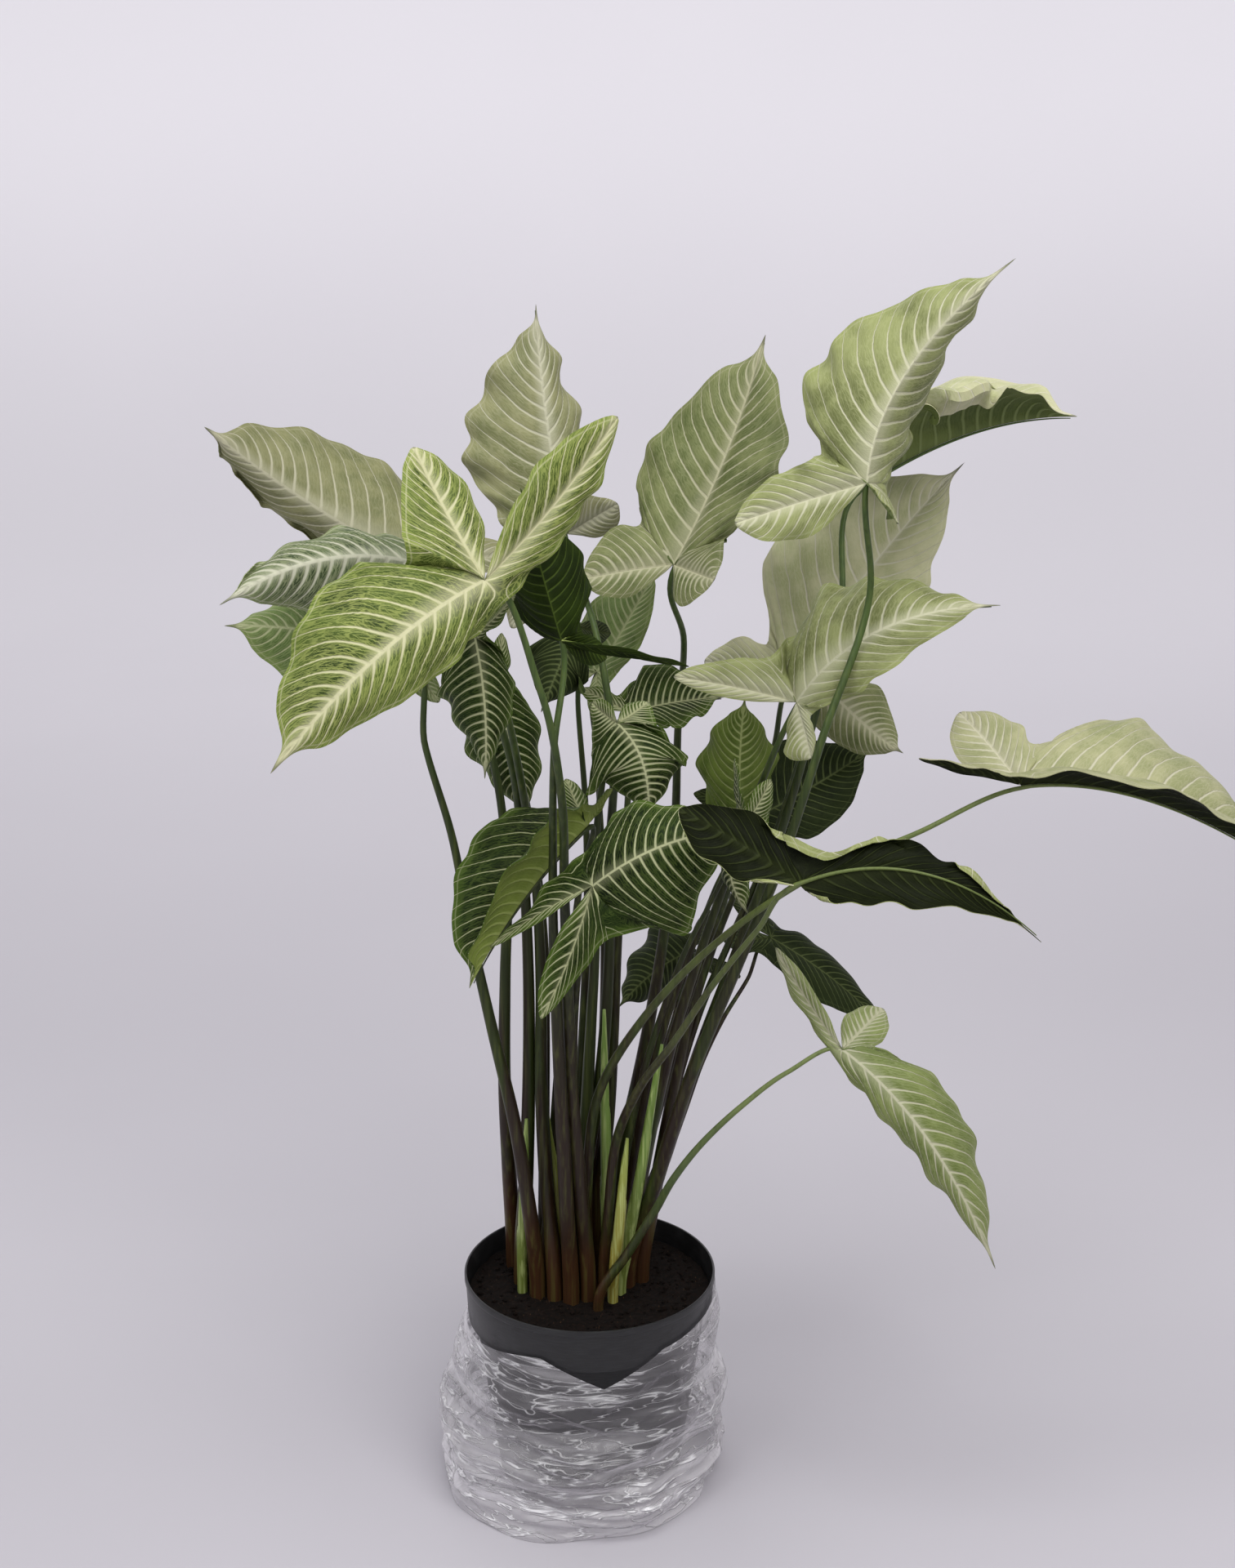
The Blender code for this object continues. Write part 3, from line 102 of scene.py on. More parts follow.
# What each frond is laid out by. rib: stalk joint, middle, tip. edges: widest left, widest right.
# lobes: left tip, right tip, or None for a lobe at its usual place. form: fullness of the tip,
# then the lobes' half-widths as shares of their length (left outer, left inner, right outer,
# right inner) and how far a web between blade and lobe adds to the outer ones at their start
# (left, right). foot: centimetres right of the pot's middle and away from the viewer. stalk:
# points from the soil to the leaf. tones: upper side, underside.
FROND_PARTS = ("rib", "edges", "lobes", "form", "foot", "stalk", "tones")
PLAIN = (1, 0.22, 0.18, 0.22, 0.18, 0, 0)
FRONDS = {
    "front_left": (
        ((-13, 20, 22), (-23.5, 12.5, 30), (-34, 1, 33)), ((-17, 11, 27), (-26.5, 21.5, 24)),
        ((0, 36, 13), (-20, 33, 16)), (0.85, 0.15, 0.19, 0.28, 0.25, 0, 0.18), (-0.2, -2.4),
        ((-5, -26.5, 6), (-5.5, -11, 11), (-6.5, 5, 17), (-9.5, 14, 20)), ("bright", "pale"),
    ),
    "high_left": (
        ((-20, 21.5, 1), (-31, 28, -2), (-40.5, 35, 0)), ((-29.5, 24, -6), (-24, 32, -8)), (None, None),
        (0.85, 0.22, 0.18, 0.22, 0.18, 0, 0), (-8.4, 5.2),
        ((-11, -27, -1), (-11, -3, -2), (-13.5, 9, -1), (-17, 17, 0)), ("straw", "pale"),
    ),
    "mid_left": (
        ((-19, 21.5, 10), (-29, 22, 13), (-39, 17.5, 15)), ((-27.5, 16, 10), (-25.5, 25, 7)), (None, None),
        PLAIN, (-7.4, 1.4), ((-8.5, -29, -1), (-9, -8, -1), (-11.5, 6.5, 4), (-15.5, 15, 6)),
        ("silver", "pale"),
    ),
    "low_left": (
        ((-20.5, 13, 6), (-29.5, 15, 8), (-38.5, 15.5, 9)), ((-28.5, 8, 8), (-27.5, 18.5, 2)),
        ((-17.5, 8, 4), None), PLAIN, (-5.9, -0.6),
        ((-9.5, -37, 3), (-14, -17, 3), (-17, -2, 3), (-20, 8, 5)), ("green", "pale"),
    ),
    "top_left": (
        ((-5, 24.5, -12), (-7, 36.5, -14), (-8, 47, -16)), ((-15, 33, -13), (-3.5, 35, -18)),
        (None, (0, 27.5, -11)), (1.3, 0.22, 0.18, 0.5, 0.42, 0, 0), (-2.2, 6.7),
        ((-1, -27, -3), (-0.5, -3, -3), (-0.5, 8, -2), (-2, 14.5, -4), (-3.5, 21, -9)), ("pale", "pale"),
    ),
    "centre_tall": (
        ((5.5, 21.5, -4), (10.5, 32, -7), (14.5, 44, -9)), ((2.5, 32, -11), (17.5, 32, -1)),
        ((-3.5, 20, -5), (9.5, 20, 1)), (0.9, 0.53, 0.3, 0.85, 0.58, 0, 0), (1.2, 8.4),
        ((2.5, -27, -8), (5.5, -7, -13), (6, 6.5, -16), (6.5, 15, -10)), ("dusky", "deep"),
    ),
    "top_right": (
        ((24.5, 29.5, 12), (28.5, 40.5, 10), (39, 51.5, 7)), ((19.5, 41.5, 5), (30, 37.5, 1)),
        ((11.5, 25.5, 11), (27.5, 25.5, 15)), (1.25, 0.26, 0.26, 0.5, 0.45, 0, 0.5), (3.8, 0.4),
        ((8.5, -24.5, 6), (14.5, -11, 8), (20.5, 6.5, 9), (25, 20.5, 7)), ("fresh", "pale"),
    ),
    "back_right": (
        ((23.5, 29, -12), (34.5, 34.5, -14), (45, 36, -12)), ((30, 39, -24), (30, 38, -3)), (None, None),
        (0.75, 0.22, 0.18, 0.22, 0.18, 0, 0), (5.2, 7.4),
        ((8.5, -23, -5), (14.5, -7, -4), (17.5, 1, -4), (19.5, 9.5, -4), (22.5, 21, -9)), ("clear", "pale"),
    ),
    "behind_right": (
        ((17, 10.5, -20), (25.5, 22, -22), (34, 31.5, -20)), ((15, 23.5, -24), (29, 16.5, -19)),
        ((8.5, 12, -21), (22.5, 6, -19)), (1.2, 0.34, 0.3, 0.2, 0.2, 0, 0), (3.2, 9.4),
        ((6.5, -23, -10), (11.5, -8, -16), (15, 2.5, -22), (16.5, 8, -22)), ("clear", "deep"),
    ),
    "mid_right": (
        ((17.5, 8, 4), (25.5, 15, 6), (37.5, 17.5, 4)), ((20.5, 19, -2), (25, 10, 8)),
        ((5.5, 10.5, 2), (19, 2.5, 8)), (1.1, 0.2, 0.1, 0.2, 0.52, 0.1, 0), (3.6, 2.6),
        ((6, -23, 1), (11.5, -7, 1), (14.5, 1, 2), (16.5, 5, 2)), ("fresh", "pale"),
    ),
    "hang_right": (
        ((20, 10, -8), (24, 6, -8), (28, 3, -7)), ((26, 9, -11), (20.5, 4.5, -9)), (None, None), PLAIN,
        (5.6, 4.6), ((7.5, -24, -5), (13.5, -9.5, -5), (17, 1, -7), (19.5, 6.5, -9)), ("dusky", "deep"),
    ),
    "far_right": (
        ((39.5, 0, 10), (52.5, -1.5, 12), (66.5, -9, 9)), ((50.5, 6.5, 0), (49.5, 0.5, 18)),
        ((33.5, 7, 1), (29.5, 2.5, 12)), (0.7, 0.34, 0.3, 0.16, 0.12, 0, 0), (-0.2, 0.8),
        ((-1.5, -29.5, 3), (5, -20, 6), (16.5, -10.5, 9), (26.5, -5.5, 11), (34.5, -3.5, 11)),
        ("light", "dark"),
    ),
    "front_right": (
        ((18, -10, 26), (30, -9, 28), (41.5, -15.5, 27)), ((27, -12, 31), (26.5, -5.5, 24)),
        ((22, -11, 22), (6, -2.5, 24)), (1.5, 0.2, 0.2, 0.26, 0.26, 0, 0), (1.4, -1.6),
        ((1, -31.5, 6), (4, -27.5, 11), (9.5, -19.5, 17), (14, -14, 21)), ("fresh", "dark"),
    ),
    "back_low": (
        ((15, -15, -18), (21, -19, -20), (26.5, -24, -20)), ((22, -17.5, -23), (18.5, -20.5, -17)),
        (None, None), PLAIN, (5.6, 9.4),
        ((6, -33.5, -10), (9.5, -24.5, -13), (12.5, -19.5, -16), (14, -17, -17)), ("shade", "deep"),
    ),
    "low_right": (
        ((22, -26, 10), (30.5, -35, 14), (37, -47.5, 12)), ((33, -30, 9), (27, -34, 12)),
        ((26, -22, 4), (15.5, -16, 6)), (0.9, 0.3, 0.3, 0.13, 0.13, 0, 0), (1, -3.9),
        ((4, -41, 5), (6.5, -37, 8), (11.5, -32, 9), (17, -28, 10)), ("stripe", "pale"),
    ),
    "hang_left": (
        ((-14, 14.5, 14), (-13, 7.5, 17), (-13, 0.5, 15)), ((-10, 9, 14), (-17.5, 9, 12)),
        ((-10, 18.5, 17), (-18, 17.5, 15)), PLAIN, (-4, -1.4),
        ((-7.5, -31, 0), (-8, -11, -2), (-10, 2.5, 4), (-12.5, 12, 10)), ("veined", "deep"),
    ),
    "under_left": (
        ((-12, 9, -2), (-10, 2.5, -2), (-9, -3.5, -3)), ((-7, 3, -5), (-14.5, 2.5, -5)), (None, None),
        PLAIN, (-5, 3.4), ((-7, -27, -1), (-7.5, -11, -3), (-9.5, 1, -4), (-11, 7, -3)), ("veined", "deep"),
    ),
    "centre_back": (
        ((-5.5, 14, 14), (-7.5, 21, 15), (-9.5, 29, 13)), ((-10.5, 18.5, 8), (-2.5, 19.5, 11)),
        ((7, 11.5, 11), None), (1, 0.1, 0.12, 0.2, 0.2, 0, 0), (-2.2, -2.8),
        ((-5.5, -26.5, 7), (-6, -9, 11), (-6, 5, 16), (-5.5, 11, 16)), ("grass", "bright"),
    ),
    "dark_centre": (
        ((-2, 11, -14), (1, 16, -17), (4, 21.5, -18)), ((-2.5, 18, -19), (2.5, 14, -16)), (None, None),
        PLAIN, (-0.6, 9.8), ((-1.5, -27, -9), (-1.5, -7, -11), (-2, 3, -13), (-2, 9, -14)),
        ("green", "deep"),
    ),
    "dark_left": (
        ((-4, 15.5, -6), (-5.5, 12, -4), (-7.5, 7, -3)), ((-1.5, 11.5, -9), (-9.5, 12, -7)), (None, None),
        PLAIN, (-2.8, 5.4), ((-3.5, -27, -4), (-3, -7, -8), (-3.5, 5, -10), (-3.5, 13, -9)),
        ("shade", "deep"),
    ),
    "veined_mid": (
        ((1, 7, -7), (5.5, 8, -8), (10.5, 8.5, -9)), ((4.5, 12, -12), (6, 5.5, -3)), (None, None), PLAIN,
        (0.2, 4.4), ((-1, -27, -4), (0, -11, -6), (1, 1, -8), (1, 5, -8)), ("veined", "deep"),
    ),
    "veined_front": (
        ((0, 6, 6), (2.5, 2, 9), (3, -3.5, 8)), ((8, 2.5, 4), (-5, 3, 4)), ((3, 8, 3), (-2.5, 8, 3)),
        (0.8, 0.5, 0.3, 0.5, 0.3, 0.5, 0.5), (-1.2, 2.8),
        ((-2.5, -27, -2), (-1.5, -11, -1), (-1, 0, -1), (-0.5, 3.5, 1)), ("veined", "deep"),
    ),
    "young_right": (
        ((12, -4.5, -3), (12, 2.5, -2), (12.5, 8.5, -3)), ((8, 0, -6), (15.5, 0.5, -6)), (None, None),
        PLAIN, (2.6, 5.2), ((4.5, -24, -3), (8.5, -13, -4), (11, -7, -3), (12, -5, -3)),
        ("young", "bright"),
    ),
    "dark_right": (
        ((14, -3, -9), (19.5, 0, -12), (25, 3.5, -14)), ((18, 5.5, -16), (20.5, -4.5, -10)), (None, None),
        PLAIN, (5.6, 2), ((7.5, -22.5, -4), (11, -12, -7), (13.5, -5.5, -9), (14, -3.5, -9)),
        ("shade", "deep"),
    ),
    "front_centre": (
        ((-2.5, -10, 18), (4.5, -6, 20), (12, -4.5, 16)), ((1, -2, 15), (6, -15, 20)),
        ((-12.5, -16, 14), (-7.5, -23, 18)), (1, 0.07, 0.07, 0.1, 0.14, 0.18, 0.1), (-1.9, -0.8),
        ((-4.5, -29.5, 3), (-4, -19, 7), (-3, -13.5, 12), (-2.5, -11, 16)), ("veined", "deep"),
    ),
    "front_low": (
        ((-3, -4, 4), (-9.5, -11.5, 10), (-14.5, -20, 13)), ((-10.5, -8, 15), (-17, -9, 9)),
        ((-0.5, -0.5, -1), (-5, 0.5, -2)), (0.75, 0.22, 0.18, 0.22, 0.18, 0, 0), (-4.5, 1),
        ((-6, -27, 0), (-4.5, -15, 0), (-3.5, -8, 2), (-3, -5, 3)), ("veined", "bright"),
    ),
    "low_back": (
        ((7, -16.5, -15), (3.5, -18.5, -16), (0, -22, -16)), ((6.5, -20, -19), (2.5, -15, -20)),
        ((12, -19, -18), None), PLAIN, (2.4, 7.2),
        ((3, -30.5, -9), (5.5, -23, -16), (6.5, -19, -19), (7, -17.5, -18)), ("shade", "deep"),
    ),
    "small_right": (
        ((12.5, -4, 5), (11, -8.5, 7), (13, -13, 6)), ((14, -9, 5), (9.5, -10, 4)),
        ((15, 0.5, 3), (11.5, 2.5, 4)), (1, 0.3, 0.25, 0.3, 0.3, 0.1, 0.1), (1.8, 2.4),
        ((3.5, -25, 1), (8, -13.5, 3), (10.5, -9, 3.5), (12, -6, 4.5)), ("veined", "deep"),
    ),
}
FRONDS = {name: dict(zip(FROND_PARTS, row)) for name, row in FRONDS.items()}

# Stalks thinner than the others, as shares of their radius.
SLENDER = {
    "low_right": 0.62, "back_low": 0.55, "small_right": 0.6, "hang_right": 0.7, "low_back": 0.65,
    "young_right": 0.8, "dark_left": 0.75, "dark_centre": 0.75, "under_left": 0.8,
    "front_right": 0.72, "far_right": 0.7,
}

# Rolled young leaves: foot as above, tip right, away and up in centimetres.
SPEARS = {
    "spear_middle": ((1.9, 0.4), (1.6, 0.0, 54.0)),
    "spear_tall": ((3.4, -1.2), (7.6, -2.2, 51.0)),
    "spear_front": ((2.5, -3.0), (4.0, -3.6, 41.0)),
    "spear_yellow": ((-3.0, 0.4), (-4.4, 0.4, 42.0)),
    "spear_left": ((-7.2, -0.7), (-6.6, -1.0, 42.0)),
}


def unit(v):
    return v / np.maximum(np.linalg.norm(v, axis=-1, keepdims=True), 1e-9)


def seen(across, up, toward):
    """The point seen `across` and `up` from the line of sight, `toward` the viewer from the axis."""
    ahead = np.array((0.0, cos(SIGHT_TILT), -sin(SIGHT_TILT)))
    upward = np.array((0.0, sin(SIGHT_TILT), cos(SIGHT_TILT)))
    line = ahead + (np.array((1.0, 0.0, 0.0)) * across + upward * up) / 100 / SIGHT
    return EYE + line * (-toward / 100 - EYE[1]) / line[1]


def through(knots, points, at):
    """Reads a smooth curve through the points, which lie at the knots."""
    knots = np.asarray(knots, float)
    points = np.asarray(points, float)
    at = np.clip(np.asarray(at, float), knots[0], knots[-1])
    slopes = np.gradient(points, knots, axis=0)
    i = np.clip(np.searchsorted(knots, at, side="right") - 1, 0, len(knots) - 2)
    step = (knots[i + 1] - knots[i])[:, None]
    t = (at - knots[i])[:, None] / step
    start = (2 * t**3 - 3 * t**2 + 1) * points[i] + (t**3 - 2 * t**2 + t) * step * slopes[i]
    return start + (3 * t**2 - 2 * t**3) * points[i + 1] + (t**3 - t**2) * step * slopes[i + 1]


def turned(v, start, end):
    """Turns v the shortest way that takes the direction start to each direction in end."""
    axis = np.cross(start, end)
    once = np.cross(axis, v)
    return v + once + np.cross(axis, once) / (1 + end @ start)[:, None]


class Arc:
    """A curve with one even bend, read at shares of its way from 0 to 1."""

    def __init__(self, start, bend, end):
        self.start = start
        self.bend = bend
        self.end = end

    def at(self, s):
        s = np.asarray(s, float)[:, None]
        return (1 - s) ** 2 * self.start + 2 * s * (1 - s) * self.bend + s**2 * self.end

    def heading(self, s):
        s = np.asarray(s, float)[:, None]
        return unit((1 - s) * (self.bend - self.start) + s * (self.end - self.bend))


def placed_points(points):
    return [None if p is None else seen(*p) for p in points]


def midrib(frond):
    base, middle, tip = placed_points(frond["rib"])
    return Arc(base, 2 * middle - (base + tip) / 2, tip)


def row_places(rows):
    """Shares of the way for the rows down the midrib, round the stalk, along a lobe and back."""
    return 1 - np.linspace(0, 1, rows[0] + 1), *(np.linspace(0, 1, n + 1)[1:] for n in rows[1:])


def half_blade(frond, side, rows, columns, phase):
    """Lays out one half of a blade, side 0 being the left, as a grid of points.

    Its rows start at the tip, come down the midrib, fan out round the stalk, go out along the
    lobe's outer side and come back along its inner side. Columns run from rib to margin.
    """
    rib = midrib(frond)
    sign = (-1, 1)[side]
    along = rib.heading([WIDEST])[0]
    reach = placed_points(frond["edges"])[side] - rib.at([WIDEST])[0]
    reach = reach - along * (reach @ along)
    first = rib.heading([0.0])
    out = turned(reach, along, first)[0]
    first = first[0]
    top = unit(np.cross(sign * out, first))

    lobe_tip = placed_points(frond["lobes"])[side]
    if lobe_tip is None:
        blade_length = np.linalg.norm(rib.end - rib.start)
        lobe_tip = rib.start + LOBE_OUT * out - LOBE_BACK * blade_length * first
    length = np.linalg.norm(lobe_tip - rib.start)
    lobe = Arc(rib.start, (rib.start + lobe_tip) / 2 + unit(out) * LOBE_BOW * length, lobe_tip)
    lobe_way = (lobe_tip - rib.start) / length
    lobe_top = unit(top - lobe_way * (top @ lobe_way))
    outward = np.cross(lobe_way, lobe_top)
    if outward @ (unit(out) + first) < 0:
        outward = -outward

    form = frond["form"]
    outer_share, inner_share = form[1 + 2 * side:3 + 2 * side]
    outer_width = OUTER_WIDTH * outer_share + WEB * form[5 + side]
    main_width = MAIN_WIDTH**form[0]
    parting = unit(first - lobe_way)
    main_edge = rib.at(MAIN) + turned(reach, along, rib.heading(MAIN)) * main_width[:, None]
    lobe_edge = lobe.at(OUTER) + outward * (outer_width * length)[:, None]
    over = PARTING_MAIN * np.linalg.norm(rib.end - rib.start) - (main_edge - rib.start) @ parting
    main_edge = main_edge + parting * np.maximum(over, 0)[:, None]
    over = (lobe_edge - rib.start) @ parting + PARTING_LOBE * length
    lobe_edge = lobe_edge - parting * np.maximum(over, 0)[:, None]
    inner_edge = lobe.at(INNER) - outward * (INNER_WIDTH * inner_share * length)[:, None]
    outline = np.vstack((main_edge, lobe_edge, lobe_tip[None], inner_edge, rib.start[None]))
    knots = np.arange(len(outline), dtype=float)
    last_main = len(MAIN) - 1
    at_lobe_tip = len(MAIN) + len(OUTER)

    s, f, t, b = row_places(rows)
    b = 1 - b
    to_lobe_tip = np.r_[last_main + 0.9, np.arange(len(MAIN), at_lobe_tip + 1)]
    at = np.r_[
        np.interp(-s - 0.12 * (1 - s) - 0.20 * s * (1 - s), -MAIN, np.arange(len(MAIN))),
        last_main + 0.9 * f,
        np.interp(t + 0.16 * (1 - t) + 0.20 * t * (1 - t), np.r_[0.16, OUTER, 1.0], to_lobe_tip),
        np.interp(-b - 0.12 * b * (1 - b), -np.r_[1.0, INNER, 0.0], knots[at_lobe_tip:]),
    ]
    f = f[:, None]
    t = np.r_[t, b]
    skeleton = np.vstack((rib.at(s), rib.start + 0 * f, lobe.at(t)))
    fan_way = unit(first * (1 - f) + lobe.heading([0.0]) * f)
    way = np.vstack((rib.heading(s), fan_way, lobe.heading(t)))
    rib_top = unit(np.cross(sign * turned(reach, along, rib.heading(s)), rib.heading(s)))
    tops = np.vstack((rib_top, unit(top * (1 - f) + lobe_top * f), lobe_top + 0 * t[:, None]))
    edge = through(knots, outline, at)
    span = edge - skeleton
    width = np.linalg.norm(span, axis=1)[:, None]
    bend = skeleton + 0.5 * span - way * width * BOW
    wave = MARGIN_WAVE * np.minimum(width, 0.05) * np.sin(pi * 0.92 * at + phase)[:, None]
    grid = []
    for c in np.linspace(0, 1, columns + 1):
        line = (1 - c) ** 2 * skeleton + 2 * c * (1 - c) * bend + c**2 * edge
        grid.append(line + tops * (width * CUP * c * (1 - c) + wave * c**2))
    return np.stack(grid, 1), tops, width[:, 0]


def stalk_radius(name, count):
    share = SLENDER.get(name, 1.0)
    t = np.linspace(0, 1, count)
    radius = STALK_TOP_RADIUS + (STALK_FOOT_RADIUS - STALK_TOP_RADIUS) * (1 - t) ** 1.3
    return radius * share ** (1 - 0.4 * t)


def run_of(points):
    """How far along a line each of its points is from the start."""
    return np.r_[0, np.cumsum(np.linalg.norm(np.diff(points, axis=0), axis=1))]


def even_points(points, count):
    """Spaces count points evenly along the smooth curve through the points."""
    steps = run_of(points)
    dense = through(steps, points, np.linspace(0, steps[-1], 200))
    steps = run_of(dense)
    return through(steps, dense, np.linspace(0, steps[-1], count))


def stalk_route(frond):
    """From the soil to the blade, ending just under the start of its midrib."""
    x, y = frond["foot"]
    foot = np.array((x / 100, y / 100, STALK_CLEAR_OF_SOIL))
    rib = midrib(frond)
    points = np.vstack((foot[None], placed_points(frond["stalk"]), rib.at([0.0])))
    return even_points(points, STALK_POINTS - 2)


def spear_route(foot, tip):
    foot = np.array((foot[0] / 100, foot[1] / 100, STALK_CLEAR_OF_SOIL))
    tip = np.array(tip) / 100
    bow = np.array((0.0, -0.006, 0.0))
    return even_points(np.vstack((foot, (foot + tip) / 2 + bow, tip)), STALK_POINTS - 2)


def spear_radius(count):
    t = np.linspace(0, 1, count)
    return 0.0012 + 0.0050 * np.sin(pi * (0.32 + 0.66 * t)) ** 0.8


def nearest(p1, d1, p2, d2):
    """Shares of the way along two segments at which they come nearest to each other."""
    r = p1 - p2
    a = np.sum(d1 * d1, 1)
    e = np.maximum(np.sum(d2 * d2, 1), 1e-12)
    b = np.sum(d1 * d2, 1)
    c = np.sum(d1 * r, 1)
    f = np.sum(d2 * r, 1)
    flat = np.maximum(a * e - b * b, 1e-12)
    s = np.where(a > 1e-10, np.clip((b * f - c * e) / flat, 0, 1), 0.0)
    t = np.clip((b * s + f) / e, 0, 1)
    s = np.where(a > 1e-10, np.clip((b * t - c) / np.maximum(a, 1e-12), 0, 1), 0.0)
    return s, t


def shove(push, hits, offset, need, ends, firmness):
    """Adds the push that brings offsets up to the need, shared among the points at their ends."""
    distance = np.linalg.norm(offset, axis=1, keepdims=True)
    short = np.maximum(need - distance, 0) * firmness * offset / np.maximum(distance, 1e-6)
    for index, weight, way in ends:
        np.add.at(push, index, short * weight * way)
        np.add.at(hits, index, weight * (need > distance))


def eased_apart(routes, radii, obstacles, owners):
    """Bends crossing stalks clear of each other and of the blades, both ends staying in place."""
    start = np.array(routes)
    count, length = start.shape[:2]
    moved = np.zeros_like(start)
    cane = np.repeat(np.arange(count), length - 1)
    low = np.concatenate([k * length + np.arange(length - 1) for k in range(count)])
    first, second = np.triu_indices(len(low), 1)
    apart = cane[first] != cane[second]
    first = first[apart]
    second = second[apart]
    thick = np.array(radii).reshape(-1, 1)
    free = np.ones((count, length, 1))
    free[:, -1] = 0.0
    free[:, -2] = 0.35
    for turn in range(ROUNDS):
        flat = (start + moved).reshape(-1, 3)
        if turn % SEARCH_ROUNDS == 0:
            centres = (flat[low] + flat[low + 1]) / 2
            near = np.linalg.norm(centres[first] - centres[second], axis=1) < STALKS_NEAR
            a = low[first[near]]
            b = low[second[near]]
            far = np.linalg.norm(obstacles[:, None] - centres[None], axis=2)
            o, s = np.nonzero(far < BLADES_NEAR)
            other = owners[o] != cane[s]
            blade = obstacles[o[other]]
            c = low[s[other]]
        push = np.zeros_like(flat)
        hits = np.full((len(flat), 1), 1e-9)
        u, v = nearest(flat[a], flat[a + 1] - flat[a], flat[b], flat[b + 1] - flat[b])
        u = u[:, None]
        v = v[:, None]
        offset = flat[a] * (1 - u) + flat[a + 1] * u - flat[b] * (1 - v) - flat[b + 1] * v
        need = thick[a] * (1 - u) + thick[a + 1] * u + thick[b] * (1 - v) + thick[b + 1] * v
        ends = ((a, 1 - u, 1), (a + 1, u, 1), (b, 1 - v, -1), (b + 1, v, -1))
        shove(push, hits, offset, need + STALK_CLEARANCE, ends, 0.55)
        segment = flat[c + 1] - flat[c]
        u = np.sum((blade - flat[c]) * segment, 1) / np.sum(segment * segment, 1)
        u = np.clip(u, 0, 1)[:, None]
        need = thick[c] * (1 - u) + thick[c + 1] * u
        offset = flat[c] + segment * u - blade
        shove(push, hits, offset, need + BLADE_CLEARANCE, ((c, 1 - u, 1), (c + 1, u, 1)), 1.0)
        moved += (push / np.maximum(hits, 1.0)).reshape(start.shape) * free
        moved[:, 0, 2] = 0.0
        reach = np.linalg.norm((start + moved)[:, 0, :2], axis=1, keepdims=True)
        moved[:, 0, :2] -= (start + moved)[:, 0, :2] * np.maximum(reach - FEET_WITHIN, 0) / reach
        if turn < ROUNDS - UNSMOOTHED_ROUNDS:
            inner = moved[:, 1:-1]
            moved[:, 1:-1] = inner + SMOOTHING * (moved[:, :-2] + moved[:, 2:] - 2 * inner)
    return start + moved


def whole_stalk(route, frond):
    """Adds the upright foot in the soil and, for a frond, the end that runs into its midrib."""
    foot = route[0].copy()
    foot[2] = STALK_FOOT
    if frond is None:
        return np.vstack((foot, route))
    return np.vstack((foot, route, midrib(frond).at([0.045])))


def blade_samples(frond, phase):
    """Points spread over a blade, which other stalks keep clear of."""
    grids = [half_blade(frond, side, (10, 3, 5, 4), 5, phase + side)[0] for side in (0, 1)]
    return np.vstack([grid.reshape(-1, 3) for grid in grids])


# Rows of the fine blades, as in half_blade, and their columns. Small blades have fewer.
FINE_ROWS = (84, 16, 34, 34)
FINE_COLUMNS = 16
SMALL_ROWS = tuple(n * 2 // 3 for n in FINE_ROWS)
SMALL_COLUMNS = 12
LEAF_THICKNESS = 0.0007

# Side veins on each side of the midrib, on each side of a lobe's rib and round the stalk, and how
# many veins one runs on toward the tip before it reaches the margin.
SIDE_VEINS = 16
LOBE_VEINS = 10
FAN_VEINS = 2.2
VEIN_SWEEP = 2.3
# Waves of a margin out of the blade and bulges of it within the blade, as a share of its width.
WAVE_LENGTH = 0.046
WAVE_HEIGHT = 0.0036
BULGE_LENGTH = 0.057
BULGE_SHARE = 0.045
# Widths of a half from which the waves are full, and how wavy most margins are.
WAVY_WIDTH = 0.035
USUALLY_WAVY = 0.7
# Bulge between side veins, furrow over the midrib, then where the drip tip starts, how soon it is
# slim and how much slimmer it gets.
QUILT_HEIGHT = 0.0024
MIDRIB_DIP = 0.0011
TIP_START = 0.78
TIP_PASSAGE = 0.17
TIP_SLIMMING = 0.62
# Cells of the fine net between side veins.
CELL_WIDTH = 0.0028
CELL_LENGTH = 0.0150
# How far the last two points of a stalk lie under the blade, and its radius at its end.
STALK_SINKS = (0.0038, 0.0034)
STALK_END_RADIUS = 0.0016
# Points along the ridge of a midrib, and the place of the stalk's look among a leaf's materials.
RIDGE_POINTS = 40
STALK_MATERIAL = 2
# Loose crumbs on the soil, less those that would touch a stalk.
CRUMBS = 420
# What the spacing of veins and the width of a blade are multiplied by in the texture places.
SPACING_SCALE = 20
WIDTH_SCALE = 5

